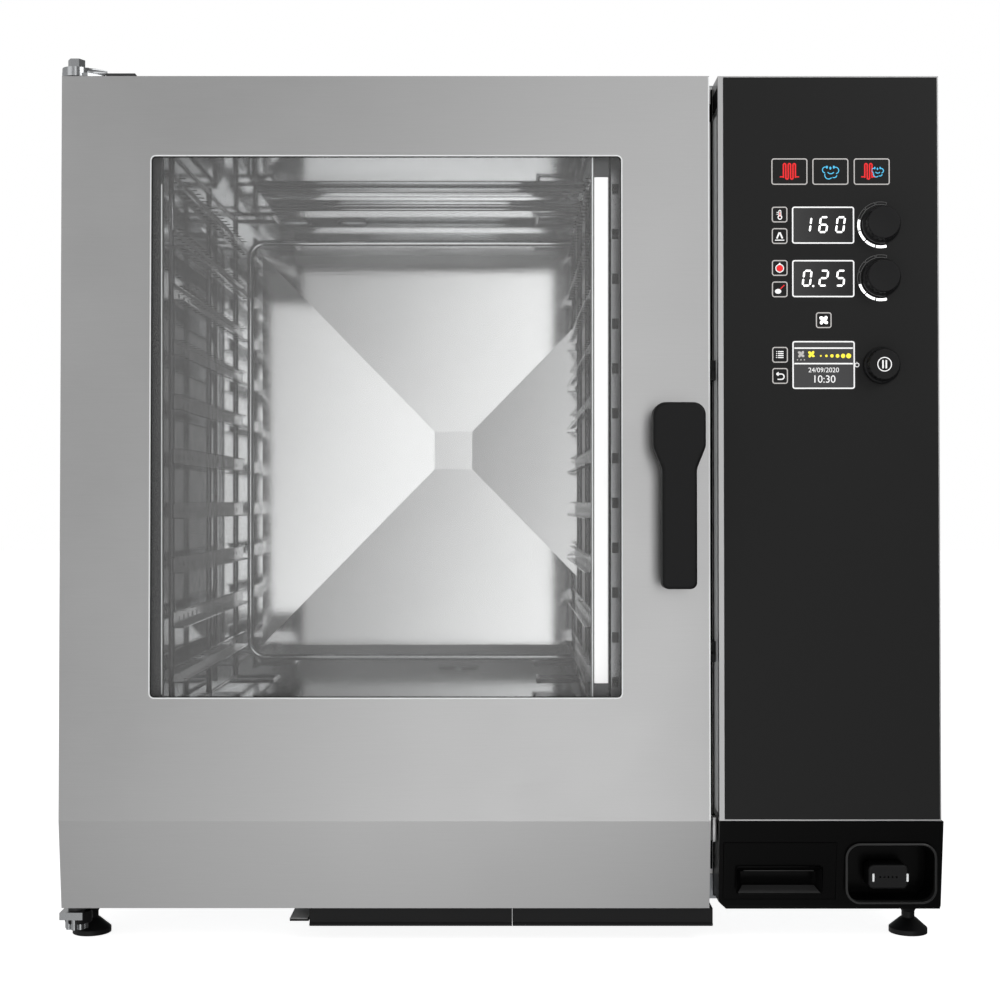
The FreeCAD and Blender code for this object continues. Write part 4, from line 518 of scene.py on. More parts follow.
class Artwork:
    """Thin raised shapes, all in one mesh, drawn in millimetres about a local origin."""

    def __init__(self, thick_mm: float = 0.12, slant: float = 0.0) -> None:
        """Start an empty drawing.

        Args:
            thick_mm: How far the shapes stand up.
            slant: Sideways shift per unit of height, for leaning digits.
        """
        self.shape = bmesh.new()
        self.thick = thick_mm
        self.slant = slant

    def take(self, part: bmesh.types.BMesh) -> None:
        """Add one part to the drawing."""
        bmesh.ops.recalc_face_normals(part, faces=part.faces)
        join(self.shape, part)

    def bar(self, x0: float, y0: float, x1: float, y1: float, width: float, pointed: bool = False) -> None:
        """Draw a straight stroke between two points.

        Args:
            x0: Start across.
            y0: Start up.
            x1: End across.
            y1: End up.
            width: Width of the stroke.
            pointed: Give it the pointed ends of a display segment.
        """
        part = bmesh.new()
        length = math.hypot(x1 - x0, y1 - y0)
        bmesh.ops.create_cube(part, size=1.0)
        bmesh.ops.scale(part, vec=(length, width, self.thick), verts=part.verts)
        if pointed:
            ends = [e for e in part.edges if abs(e.verts[0].co.z - e.verts[1].co.z) > self.thick / 2]
            bmesh.ops.bevel(part, geom=ends, offset=width * 0.4, offset_type="OFFSET", affect="EDGES",
                            segments=1, profile=0.5, material=-1)
        turn = Matrix.Rotation(math.atan2(y1 - y0, x1 - x0), 4, "Z")
        part.transform(Matrix.Translation(((x0 + x1) / 2, (y0 + y1) / 2, self.thick / 2)) @ turn)
        self.take(part)

    def disc(self, x: float, y: float, radius: float, stretch: tuple[float, float] = (1.0, 1.0),
             turn_deg: float = 0.0) -> None:
        """Draw a round or oval spot.

        Args:
            x: Middle across.
            y: Middle up.
            radius: Radius before the stretch.
            stretch: Factors along and across its own axis.
            turn_deg: Turn of that axis.
        """
        part = bmesh.new()
        bmesh.ops.create_cone(part, cap_ends=True, segments=24, radius1=radius, radius2=radius, depth=self.thick)
        bmesh.ops.scale(part, vec=(stretch[0], stretch[1], 1.0), verts=part.verts)
        part.transform(Matrix.Translation((x, y, self.thick / 2)) @ Matrix.Rotation(math.radians(turn_deg), 4, "Z"))
        self.take(part)

    def arc(self, x: float, y: float, radius: float, width: float, start_deg: float = 0.0,
            sweep_deg: float = 360.0) -> None:
        """Draw a ring or part of a ring, counted anticlockwise from the right.

        Args:
            x: Middle across.
            y: Middle up.
            radius: Radius of the middle line.
            width: Width of the line.
            start_deg: Angle at which it starts.
            sweep_deg: How far it goes round.
        """
        part = bmesh.new()
        inner, outer = radius - width / 2, radius + width / 2
        corners = [part.verts.new(c) for c in ((inner, 0, 0), (outer, 0, 0), (outer, 0, self.thick),
                                               (inner, 0, self.thick))]
        face = part.faces.new(corners)
        whole = sweep_deg >= 360.0
        bmesh.ops.spin(part, geom=corners + list(part.edges) + [face], cent=(0, 0, 0), axis=(0, 0, 1),
                       angle=math.radians(sweep_deg), steps=max(4, int(sweep_deg / 9)), use_merge=whole)
        if whole:
            bmesh.ops.delete(part, geom=[f for f in part.faces if f.calc_area() > 0
                                         and abs(f.normal.y) > 0.999 and abs(f.calc_center_median().y) < 1e-9],
                             context="FACES_ONLY")
        bmesh.ops.remove_doubles(part, verts=part.verts, dist=1e-5)
        part.transform(Matrix.Translation((x, y, 0)) @ Matrix.Rotation(math.radians(start_deg), 4, "Z"))
        self.take(part)

    def frame(self, width: float, height: float, corner: float, line: float, x: float = 0.0, y: float = 0.0) -> None:
        """Draw the outline of a rounded rectangle.

        Args:
            width: Outer width.
            height: Outer height.
            corner: Corner radius of the middle line.
            line: Width of the line.
            x: Middle across.
            y: Middle up.
        """
        w, h = width / 2 - line / 2, height / 2 - line / 2
        self.bar(x - w + corner, y + h, x + w - corner, y + h, line)
        self.bar(x - w + corner, y - h, x + w - corner, y - h, line)
        self.bar(x - w, y - h + corner, x - w, y + h - corner, line)
        self.bar(x + w, y - h + corner, x + w, y + h - corner, line)
        for sx, sy, start in CORNERS:
            self.arc(x + sx * (w - corner), y + sy * (h - corner), corner, line, start, 90.0)

    def propeller(self, x: float, y: float, radius: float) -> None:
        """Draw a four-bladed fan.

        Args:
            x: Middle across.
            y: Middle up.
            radius: Reach of the blades.
        """
        for angle in (45, 135, 225, 315):
            turn = math.radians(angle)
            reach = radius * 0.58
            self.disc(x + reach * math.cos(turn), y + reach * math.sin(turn), radius * 0.42, (1.1, 0.8), angle + 25)
        self.disc(x, y, radius * 0.2)

    def digit(self, figure: str, x: float, y: float, width: float, height: float, line: float) -> None:
        """Draw one seven-segment figure.

        Args:
            figure: The figure.
            x: Middle across.
            y: Middle up.
            width: Distance between the upright segments.
            height: Distance between the top and the bottom segment.
            line: Width of a segment.
        """
        w, h, gap = width / 2, height / 2, line * 0.35
        rows = {"a": (-w + gap, h, w - gap, h), "g": (-w + gap, 0, w - gap, 0), "d": (-w + gap, -h, w - gap, -h),
                "f": (-w, gap, -w, h - gap), "b": (w, gap, w, h - gap), "e": (-w, -h + gap, -w, -gap),
                "c": (w, -h + gap, w, -gap)}
        lit = {"0": "abcdef", "1": "bc", "2": "abged", "5": "afgcd", "6": "afgedc"}[figure]
        for key in lit:
            x0, y0, x1, y1 = rows[key]
            self.bar(x + x0, y + y0, x + x1, y + y1, line, pointed=True)

    def coil(self, x: float, bars: int) -> None:
        """Draw upright heater loops with their two feet.

        Args:
            x: Middle across.
            bars: Number of upright bars.
        """
        pitch, low, high, line = 2.9, -7.6, 8.2, 1.7
        foot, foot_y, foot_line = 4.4, -6.4, 1.4
        start = x - pitch * (bars - 1) / 2
        end = start + pitch * (bars - 1)
        for i in range(bars):
            self.bar(start + pitch * i, low, start + pitch * i, high, line)
            if i:
                side, start_deg = (high, 0.0) if i % 2 else (low, 180.0)
                self.arc(start + pitch * (i - 0.5), side, pitch / 2, line, start_deg, 180.0)
        self.bar(start - foot, foot_y, start, foot_y, foot_line)
        self.bar(end, foot_y, end + foot, foot_y, foot_line)

    def cloud(self, x: float, scale: float) -> None:
        """Draw the outline of a steam cloud with lobes.

        Args:
            x: Middle across.
            scale: Size beside the largest cloud.
        """
        for dx, dy, radius, start, sweep in ((-6.0, 2.0, 3.6, 60, 200), (6.2, 1.4, 3.9, -80, 200),
                                             (-2.2, -4.4, 4.6, 160, 160), (4.4, -4.0, 3.4, 240, 110),
                                             (0.4, 2.0, 4.6, 215, 110)):
            self.arc(x + dx * scale, dy * scale, radius * scale, 1.1, start, sweep)

    def drops(self, x: float, scale: float) -> None:
        """Draw three falling drops."""
        for dx, dy in ((-4.2, 5.4), (0.0, 4.2), (4.2, 5.4)):
            self.disc(x + dx * scale, dy * scale, 1.2 * scale, (1.0, 1.5))

    def text(self, words: str, x: float, y: float, size: float) -> None:
        """Draw figures in a plain upright face.

        Args:
            words: The figures.
            x: Middle across.
            y: Middle up.
            size: Height of a line.
        """
        curve = bpy.data.curves.new("figures", "FONT")
        curve.body = words
        curve.size = size
        curve.align_x = "CENTER"
        curve.align_y = "CENTER"
        curve.extrude = self.thick / 2
        holder = bpy.data.objects.new("figures", curve)
        mesh = bpy.data.meshes.new_from_object(holder)
        part = bmesh.new()
        part.from_mesh(mesh)
        bmesh.ops.remove_doubles(part, verts=part.verts, dist=1e-5)
        part.transform(Matrix.Translation((x, y, self.thick / 2)))
        bpy.data.objects.remove(holder)
        bpy.data.curves.remove(curve)
        bpy.data.meshes.remove(mesh)
        self.take(part)

    def place(self, name: str, where: Matrix, finish: Finish, body: str, slot: str) -> bpy.types.Object:
        """Set the drawing on a surface and make it a piece.

        Args:
            name: Name of the piece.
            where: Rigid matrix of the surface, in metres.
            finish: Its finish.
            body: CAD body that carries it.
            slot: Not used.

        Returns:
            The new object.
        """
        if self.slant:
            skew = Matrix.Identity(4)
            skew[0][1] = self.slant
            self.shape.transform(skew)
        return make_piece(name, self.shape, where, finish, body)


# ------------------------------------------------------------------ control panel
# Pad-printed inks: matt and even, a shade darker for the outlines than for the signs. Their glow is painted light; on
# the colour display it stands for the screen's own light.
GREY_INK_PAINTED_GLOW = Finish("grey_pad_print", "#a9a6a4", 0.5, glow=0.55, bump=0.0, colour_spread=0.02)
WHITE_INK_PAINTED_GLOW = Finish("white_pad_print", "#dcdcdc", 0.5, glow=0.6, bump=0.0, colour_spread=0.02)
DARK_INK_PAINTED_GLOW = Finish("dark_grey_print", "#6a6a6a", 0.5, glow=0.1, bump=0.0, colour_spread=0.02)
# Lit windows: they shine in one flat colour, whatever the room's light does.
WHITE_LIGHT = Finish("white_light_segment", "#ffffff", 0.4, glow=1.0, bump=0.0, colour_spread=0.01)
RED_LIGHT = Finish("red_backlit_sign", "#c8181c", 0.4, glow=0.8, bump=0.0, colour_spread=0.03)
BLUE_LIGHT = Finish("blue_backlit_sign", "#46a9d0", 0.4, glow=0.7, bump=0.0, colour_spread=0.03)
YELLOW_LIGHT = Finish("yellow_lcd_dot", "#e6d23a", 0.4, glow=0.8, bump=0.0, colour_spread=0.03)
# Back of the colour display: dark grey with a weak glow behind it.
SCREEN = Finish("lcd_back", "#3a3a3b", 0.3, glow=0.2, bump=0.0, colour_spread=0.03)

BAR, ARC, DISC = Artwork.bar, Artwork.arc, Artwork.disc
# Signs of the keys: name of the piece, its finish, and strokes in millimetres about the key's middle.
SIGNS = {
    "convection": (("coil", RED_LIGHT, ((Artwork.coil, 0.0, 6),)),),
    "steam": (("cloud", BLUE_LIGHT, ((Artwork.cloud, 0.0, 1.0), (Artwork.drops, 0.0, 1.0))),),
    "combi": (
        ("coil", RED_LIGHT, ((Artwork.coil, -4.0, 4),)),
        ("cloud", BLUE_LIGHT, ((Artwork.cloud, 7.0, 0.72), (Artwork.drops, 7.0, 0.8)))),
    "temperature": (
        ("glass", WHITE_INK_PAINTED_GLOW, (
            (ARC, 0.4, -3.4, 2.2, 1.3), (BAR, -0.8, -1.6, -0.8, 4.0, 1.0), (BAR, 1.6, -1.6, 1.6, 4.0, 1.0),
            (ARC, 0.4, 4.0, 1.2, 1.0, 0.0, 180.0), (BAR, -3.6, 0.4, -1.8, 0.4, 0.9),
            (BAR, -3.6, 2.6, -1.8, 2.6, 0.9))),
        ("core", RED_LIGHT, ((BAR, 0.4, -2.6, 0.4, 2.6, 1.1),))),
    "preheat": (("sign", WHITE_INK_PAINTED_GLOW, (
        (BAR, -3.4, -3.0, -0.3, 4.4, 1.9), (BAR, 3.4, -3.0, 0.3, 4.4, 1.9), (BAR, -5.6, -5.0, 5.6, -5.0, 1.1))),),
    "timer": (
        ("rim", WHITE_INK_PAINTED_GLOW, ((ARC, 0.0, -0.4, 4.7, 1.1), (DISC, 0.0, 5.0, 1.2))),
        ("disc", RED_LIGHT, ((DISC, 0.0, -0.4, 3.9),))),
    "probe": (
        ("roast", WHITE_INK_PAINTED_GLOW, ((DISC, -2.0, -2.4, 3.3, (1.15, 0.9)),)),
        ("needle", RED_LIGHT, ((BAR, 0.6, 0.4, 5.6, 5.2, 1.2),))),
    "fan": (("sign", WHITE_LIGHT, ((Artwork.propeller, 0.0, 0.0, 6.0),)),),
    "menu": (("sign", WHITE_INK_PAINTED_GLOW, tuple(
        stroke for y in (3.9, 1.5, -0.9, -3.3)
        for stroke in ((BAR, -2.6, y, 4.2, y, 1.2), (DISC, -4.2, y, 0.6)))),),
    "back": (("sign", WHITE_INK_PAINTED_GLOW, (
        (ARC, 1.6, -0.9, 3.2, 1.4, -90.0, 180.0), (BAR, -4.0, 2.3, 1.6, 2.3, 1.4), (BAR, -3.0, -4.1, 1.6, -4.1, 1.4),
        (BAR, -4.4, 2.3, -1.8, 4.4, 1.3), (BAR, -4.4, 2.3, -1.8, 0.4, 1.3))),),
}


@dataclass
class ControlPanel:
    """Signs, outlines and figures on the fascia and its keys.

    The clock and the date are given by place across, drop from the top and size; the point by place and radius.
    """

    front: LeaningFront
    key_line_mm: float = 1.3
    key_corner_mm: float = 2.6
    key_lift: float = 0.4 * MM
    display_line_mm: float = 1.6
    display_corner_mm: float = 2.4
    display_words: tuple[str, str] = ("160", "025")
    digit_width_mm: float = 8.8
    digit_height_mm: float = 18.0
    digit_line_mm: float = 2.3
    digit_slant: float = 0.13
    digit_rise_mm: float = 0.6
    digit_offsets_mm: tuple[float, float, float] = (-19.6, 0.5, 21.0)
    point_mm: tuple[float, float, float] = (-11.0, -9.0, 1.25)
    screen_margin_mm: float = 1.2
    rule_drops_mm: tuple[float, float] = (8.6, 27.4)
    rule_line_mm: float = 1.7
    clock_mm: tuple[float, float, float] = (0.4, 46.6, 12.8)
    date_mm: tuple[float, float, float] = (0.0, 35.4, 8.2)
    fan_middles_mm: tuple[float, float] = (-27.2, -14.8)
    fan_drop_mm: float = 16.0
    fan_radius_mm: float = 4.6
    speed_dots_mm: tuple[float, ...] = (-31.6, -27.4, -23.2)
    speed_drop_mm: float = 22.8
    speed_radius_mm: float = 0.8
    dot_start_mm: float = -3.4
    dot_drop_mm: float = 18.0
    dot_pitch_mm: float = 6.75
    dot_radii_mm: tuple[float, ...] = (1.1, 1.5, 2.0, 2.2, 2.6, 3.0)
    arc_radius_mm: float = 26.6
    arc_width_mm: float = 3.1
    arc_outline_mm: float = 0.5
    arc_segments: int = 7
    arc_start_deg: float = 73.0
    arc_sweep_deg: float = 214.0
    arc_gap_deg: float = 3.0
    power_offset_mm: tuple[float, float] = (-29.2, 1.0)

    def build(self) -> None:
        """Make every sign of the panel."""
        for node in sorted(n for n in frame["nodes"] if n.startswith("button_")):
            self.key(node)
        self.displays()
        self.dial("knob_temperature", lit=4)
        self.dial("knob_time", lit=3)
        self.power_sign()

    def show(self, name: str, drawing: Artwork, where: Matrix, finish: Finish) -> None:
        """Set a drawing on the fixed part of the fascia."""
        drawing.place(name, where, finish, "cabinet", "gloss_black")

    def key(self, node: str) -> None:
        """Make the outline and the sign of one key, moving with it.

        Args:
            node: CAD node of the key.
        """
        low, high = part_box(node)
        label = node.removeprefix("button_")
        x, z = self.front.middle(node)
        where = self.front.at(x, z, self.key_lift)
        outline = Artwork()
        outline.frame((high.x - low.x) / MM, (high.z - low.z) / MM, self.key_corner_mm, self.key_line_mm)
        outline.place(f"{node}_outline", where, GREY_INK_PAINTED_GLOW, f"key_{label}", "gloss_black")
        for tail, finish, strokes in SIGNS[label]:
            sign = Artwork()
            for draw, *numbers in strokes:
                draw(sign, *numbers)
            sign.place(f"{node}_{tail}", where, finish, f"key_{label}", "gloss_black")

    def displays(self) -> None:
        """Make the outline and the content of the three displays."""
        for number, (low, high) in enumerate(self.display_boxes()):
            where = self.front.at((low.x + high.x) / 2, (low.z + high.z) / 2)
            width, height = (high.x - low.x) / MM, (high.z - low.z) / MM
            outline = Artwork(0.15)
            outline.frame(width, height, self.display_corner_mm, self.display_line_mm)
            self.show(f"display_outline_{number}", outline, where, WHITE_INK_PAINTED_GLOW)
            if number < len(self.display_words):
                self.figures(number, where)
            else:
                self.menu_screen(where, width, height)

    def display_boxes(self) -> list[tuple[Vector, Vector]]:
        """Find the corners of each loose part of the display node.

        Returns:
            Low and high corner of every part, from the top down.
        """
        shape = bmesh.new()
        shape.from_mesh(frame["nodes"]["display_modules"].data)
        bmesh.ops.remove_doubles(shape, verts=shape.verts, dist=1e-6)
        left = set(shape.verts)
        boxes = []
        while left:
            todo = [left.pop()]
            found = list(todo)
            while todo:
                near = {v for edge in todo.pop().link_edges for v in edge.verts} & left
                left -= near
                todo.extend(near)
                found.extend(near)
            xs = [v.co.x for v in found]
            zs = [v.co.z for v in found]
            boxes.append((Vector((min(xs), 0, min(zs))), Vector((max(xs), 0, max(zs)))))
        shape.free()
        return sorted(boxes, key=lambda b: -b[1].z)

    def figures(self, number: int, where: Matrix) -> None:
        """Make three leaning seven-segment figures, the time with its point.

        Args:
            number: Number of the display, from the top.
            where: Matrix of the display's middle.
        """
        lit = Artwork(0.1, self.digit_slant)
        for offset, figure in zip(self.digit_offsets_mm, self.display_words[number]):
            lit.digit(figure, offset, self.digit_rise_mm, self.digit_width_mm, self.digit_height_mm,
                      self.digit_line_mm)
        if number == 1:
            lit.disc(*self.point_mm)
        self.show(f"display_figures_{number}", lit, where, WHITE_LIGHT)

    def menu_screen(self, where: Matrix, width: float, height: float) -> None:
        """Make the colour display: two rules, fan signs, growing dots, date and time.

        Args:
            where: Matrix of the display's middle.
            width: Width of the display in millimetres.
            height: Height of the display in millimetres.
        """
        top, margin = height / 2, self.screen_margin_mm
        back = Artwork(0.05)
        back.bar(-width / 2 + margin, 0, width / 2 - margin, 0, height - 2 * margin)
        self.show("menu_screen_back", back, where, SCREEN)
        rules = Artwork()
        for drop in self.rule_drops_mm:
            rules.bar(-width / 2 + 2 * margin, top - drop, width / 2 - 2 * margin, top - drop, self.rule_line_mm)
        for words, (across, drop, size) in (("10:30", self.clock_mm), ("24/09/2020", self.date_mm)):
            rules.text(words, across, top - drop, size)
        self.show("menu_screen_rules", rules, where, WHITE_INK_PAINTED_GLOW)
        grey = Artwork()
        grey.propeller(self.fan_middles_mm[0], top - self.fan_drop_mm, self.fan_radius_mm)
        for across in self.speed_dots_mm:
            grey.disc(across, top - self.speed_drop_mm, self.speed_radius_mm)
        self.show("menu_screen_grey_fan", grey, where, GREY_INK_PAINTED_GLOW)
        lit = Artwork()
        lit.propeller(self.fan_middles_mm[1], top - self.fan_drop_mm, self.fan_radius_mm)
        for i, radius in enumerate(self.dot_radii_mm):
            lit.disc(self.dot_start_mm + self.dot_pitch_mm * i, top - self.dot_drop_mm, radius)
        self.show("menu_screen_lights", lit, where, YELLOW_LIGHT)

    def dial(self, node: str, lit: int) -> None:
        """Make the arc of light segments beside a knob.

        Args:
            node: CAD node of the knob.
            lit: How many segments are lit, from the lower end.
        """
        where = self.front.at(*self.front.middle(node))
        step = self.arc_sweep_deg / self.arc_segments
        near, far = self.arc_radius_mm - self.arc_width_mm / 2, self.arc_radius_mm + self.arc_width_mm / 2
        on, off = Artwork(0.15), Artwork()
        for i in range(self.arc_segments):
            start = self.arc_start_deg + step * i + self.arc_gap_deg / 2
            sweep = step - self.arc_gap_deg
            if i >= self.arc_segments - lit:
                on.arc(0, 0, self.arc_radius_mm, self.arc_width_mm, start, sweep)
                continue
            for radius in (near, far):
                off.arc(0, 0, radius, self.arc_outline_mm, start, sweep)
            for end in (start, start + sweep):
                along = math.cos(math.radians(end)), math.sin(math.radians(end))
                off.bar(near * along[0], near * along[1], far * along[0], far * along[1], self.arc_outline_mm)
        self.show(f"{node}_segments_lit", on, where, WHITE_LIGHT)
        self.show(f"{node}_segments_unlit", off, where, DARK_INK_PAINTED_GLOW)

    def power_sign(self) -> None:
        """Make the small standby sign beside the menu knob."""
        x, z = self.front.middle("knob_menu")
        right, up = self.power_offset_mm
        sign = Artwork()
        sign.arc(0, 0, 2.4, 0.9, 115.0, 310.0)
        sign.bar(0, 0.8, 0, 3.6, 0.9)
        self.show("power_sign", sign, self.front.at(x + right * MM, z + up * MM), WHITE_INK_PAINTED_GLOW)


@dataclass
class Knob:
    """Moulded knob cap: skirt, fluted rim and a dished face."""

    front: LeaningFront
    node: str
    body: str
    has_menu_sign: bool = False
    height_mm: float = 16.0
    lift_mm: float = 2.0
    dish_mm: float = 0.5
    skirt_mm: float = 5.0
    flutes: int = 20
    flute_mm: float = 0.9
    steps: int = 160

    def build(self) -> None:
        """Make the knob in place of its plain CAD shape."""
        low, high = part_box(self.node)
        radius = (high.x - low.x) / 2 / MM
        top, skirt, face = self.height_mm, self.skirt_mm, self.height_mm - self.dish_mm
        profile = [(0.0, face), (radius * 0.55, face), (radius - 5.2, top), (radius - 4.2, top), (radius - 3.4, face),
                   (radius - 3.0, top - 1.4), (radius - 2.7, skirt + 2.0), (radius - 2.4, skirt + 0.6),
                   (radius - 0.9, skirt), (radius - 0.3, skirt - 0.6), (radius, skirt - 1.4), (radius, 0.4),
                   (radius - 0.5, 0.0), (0.0, 0.0)]
        shape = lathe(profile, self.steps)
        pinch(shape, radius - 4.0, skirt + 1.0,
              lambda angle, reach: max(0.0, math.cos(angle * self.flutes)) ** 2 * self.flute_mm)
        x, z = self.front.middle(self.node)
        cap = make_piece(f"{self.node}_cap", shape, self.front.at(x, z, self.lift_mm * MM), BLACK_MOULDING,
                         self.body, 40.0)
        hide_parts(self.node)
        if self.has_menu_sign:
            sign = Artwork(0.15)
            sign.arc(0, 0, 8.2, 1.1)
            for side in (-2.0, 2.0):
                sign.bar(side, -5.0, side, 5.0, 1.8)
            sign.place(f"{self.node}_sign", self.front.at(x, z, (self.lift_mm + face) * MM), WHITE_INK_PAINTED_GLOW, self.body,
                       "black_plastic")


# ------------------------------------------------------------------ window, chamber and hinge
# Pale bead and ground edges in a pale, faintly glowing colour: painted highlight that draws the thin light outline of
# the window, the strips' edges, the gap and the gun's glints.
PALE_PAINTED_HIGHLIGHT = Finish("pale_glazing_bead", "#e4e6e6", 0.35, 0.0, bump=0.0, colour_spread=0.01, glow=0.12)
# Flat black of painted shade: the window's dark inner line and the dark lines in the gaps.
BLACK_PAINTED_SHADE = Finish("printed_glass_border", "#030303", 0.7, 0.0, bump=0.0, colour_spread=0.0, ior=1.2)
# Dark inside of a punched hole.
HOLE_SHADE = Finish("hole_shade", "#0a0a0a", 0.8, 0.3, bump=0.0, colour_spread=0.0, ior=1.2)
# Mirror-bright rolled bead: it gathers the whole room in one thin line.
BRIGHT_BEAD = Finish("bright_rolled_bead", "#d4d6d7", 0.08, 1.0, Grain.ALONG_X, 2.0, 40.0, 0.03, 0.04, 0.0)
# Edge of the black mouldings in a lighter colour: painted highlight where the light catches it, drawing the recess
# and the pull.
BLACK_RIM_PAINTED_HIGHLIGHT = Finish("moulded_black_edge", "#262626", 0.35, 0.0, Grain.EVEN, 0.6, 1.0, 0.05, 0.05, 0.0)
# Darkened steel of the hinge: stands out against the pale ground.
HINGE_DARK = Finish("darkened_hinge_steel", "#4c4c4d", 0.4, 0.5, Grain.EVEN, 0.8, 1.0, 0.06, 0.05, 0.0)
# Light grey paint instead of metal: painted light that keeps the bracket pale in the shade under the door.
PALE_SHEET_PAINTED_LIGHT = Finish("light_grey_sheet", "#c6c6c6", 0.5, 0.0, Grain.EVEN, 2.0, 1.0, 0.04, 0.04, 0.0)


@dataclass
class WindowTrim:
    """Bead round the door's window and edges of the side strips in painted highlight, with black lines of painted
    shade.
    """

    front: LeaningFront
    left_mm: float = -423.5
    right_mm: float = 147.6
    bottom_mm: float = 299.0
    top_mm: float = 956.0
    corner_mm: float = 6.0
    shade_line_inset_mm: float = 1.0

    def build(self) -> None:
        """Make the painted highlight bead, the painted shade line and the strip edges."""
        width, height = self.right_mm - self.left_mm, self.top_mm - self.bottom_mm
        where = self.front.at((self.left_mm + self.right_mm) / 2 * MM, (self.bottom_mm + self.top_mm) / 2 * MM)
        # Pale bead of painted highlight, and inside it a black line of painted shade.
        for name, inset, section, finish, slot in (
                ("window_bead", 0.0, [(0.9, 0.0), (0.7, 0.35), (-0.5, 0.35), (-0.7, 0.0)], PALE_PAINTED_HIGHLIGHT, "satin_steel"),
                ("window_border", self.shade_line_inset_mm, [(0.9, -3.6), (0.9, -3.4), (-0.6, -3.4), (-0.6, -3.6)],
                 BLACK_PAINTED_SHADE, "clear_glass")):
            ring = swept_ring(width - 2 * inset, height - 2 * inset, self.corner_mm - inset, section)
            make_piece(name, ring, where, finish, "door")
        self.strip_edges()

    def strip_edges(self) -> None:
        """Draw painted highlight lines on the edges of the hinge strip and on the light strip's left edge, and a
        painted shade line on its right edge.
        """
        strip_low, strip_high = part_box("glass_hinge_strip")
        lamp_low, lamp_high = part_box("light_housing")
        # Three pale lines of painted highlight and one black line of painted shade.
        for name, x, y, low, high, width, finish in (
                ("strip_edge_left", strip_low.x / MM + 0.5, strip_low.y, 300.0, 905.0, 1.4, PALE_PAINTED_HIGHLIGHT),
                ("strip_edge_right", strip_high.x / MM - 0.6, strip_low.y, 300.0, 925.0, 1.4, PALE_PAINTED_HIGHLIGHT),
                ("lamp_edge_left", lamp_low.x / MM + 1.2, lamp_low.y, 290.0, 965.0, 1.6, PALE_PAINTED_HIGHLIGHT),
                ("lamp_edge_right", lamp_high.x / MM - 1.6, lamp_low.y, 286.0, 969.0, 3.0, BLACK_PAINTED_SHADE)):
            line = Artwork(0.2)
            line.bar(0.0, low, 0.0, high, width)
            line.place(name, facing(x * MM, y - 0.01 * MM, 0.0), finish, "door", "anodised")


@dataclass
class ChamberDetail:
    """Pressed bead of the back wall, folded channel of the ceiling and punched rails; in millimetres.

    A fold of the ceiling is given by its distance back, its length and its drop.
    """

    bead_left: float = -416.0
    bead_right: float = 260.0
    bead_bottom: float = 277.0
    bead_top: float = 967.0
    bead_corner: float = 25.0
    bead_section: tuple = ((5.0, 0.0), (4.0, 2.2), (1.8, 3.4), (-1.8, 3.4), (-4.0, 2.2), (-5.0, 0.0))
    sheet: float = 1.6
    fold_middle: float = -120.0
    fold_width: float = 500.0
    folds: tuple = ((94.0, 9.0, 9.0), (112.0, 7.0, 5.0), (168.0, 96.0, 3.0), (226.0, 7.0, 5.0), (244.0, 9.0, 9.0))
    rail_count: int = 10
    rail_pitch: float = 70.0
    rail_top: float = 955.0
    rail_height: float = 21.0
    ledge_middles: tuple = (-411.5, 115.5)
    hole_radius: float = 4.2
    hole_pitch: float = 26.0
    hole_count: int = 20
    hole_start: float = 24.0
    hole_proud: float = 0.05

    def build(self) -> None:
        """Make every detail of the chamber."""
        bead = swept_ring(self.bead_right - self.bead_left, self.bead_top - self.bead_bottom, self.bead_corner,
                          self.bead_section, 12)
        where = facing((self.bead_left + self.bead_right) / 2 * MM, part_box("cavity_back_wall")[0].y,
                       (self.bead_bottom + self.bead_top) / 2 * MM)
        make_piece("back_wall_bead", bead, where, BRIGHT_BEAD, "cabinet", 60.0)
        self.ceiling_channel()
        self.punched_rails()

    def ceiling_channel(self) -> None:
        """Fold the shallow channel that crosses under the ceiling."""
        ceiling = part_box("cavity_liner")[1].z / MM - self.sheet
        channel = bmesh.new()
        for depth, length, drop in self.folds:
            fold = rounded_block((self.fold_width, length, drop), min(length, drop) * 0.3, 3)
            fold.transform(Matrix.Translation((self.fold_middle, depth, ceiling - drop / 2)))
            join(channel, fold)
        make_piece("ceiling_channel", channel, Matrix(), BRIGHT_BEAD, "cabinet", 50.0)

    def punched_rails(self) -> None:
        """Shade the round holes in both lips of every rail."""
        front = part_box("rack_left")[0].y / MM + self.hole_start
        tops = [self.rail_top - level * self.rail_pitch for level in range(self.rail_count)]
        heights = [z for top in tops for z in (top + self.hole_proud, top - self.rail_height - self.hole_proud)]
        for name, middle in zip(("rack_left", "rack_right"), self.ledge_middles):
            holes = bmesh.new()
            for height in heights:
                for number in range(self.hole_count):
                    place = Matrix.Translation((middle, front + number * self.hole_pitch, height))
                    bmesh.ops.create_cone(holes, cap_ends=True, segments=12, radius1=self.hole_radius,
                                          radius2=self.hole_radius, depth=0.2, matrix=place)
            make_piece(f"{name}_holes", holes, Matrix(), HOLE_SHADE, "cabinet")


@dataclass
class HingeKnob:
    """Black lobed knob under the lower hinge plate."""

    x_mm: float = -516.5
    y_mm: float = -373.0
    low_mm: float = 21.5
    high_mm: float = 36.0
    radius_mm: float = 16.5
    lobes: int = 6
    lobe_share: float = 0.1

    def build(self) -> None:
        """Make the knob."""
        height, radius = self.high_mm - self.low_mm, self.radius_mm
        knob = lathe([(0.0, height), (radius - 1.5, height), (radius - 0.4, height - 0.5), (radius, height - 1.6),
                      (radius, 1.6), (radius - 0.4, 0.5), (radius - 1.5, 0.0), (0.0, 0.0)], 96)
        pinch(knob, radius * 0.6, -1.0,
              lambda angle, reach: self.lobe_share * reach * (1.0 - abs(math.cos(angle * self.lobes / 2))))
        where = Matrix.Translation(Vector((self.x_mm, self.y_mm, self.low_mm)) * MM)
        make_piece("hinge_knob", knob, where, BLACK_MOULDING, "cabinet", 40.0)


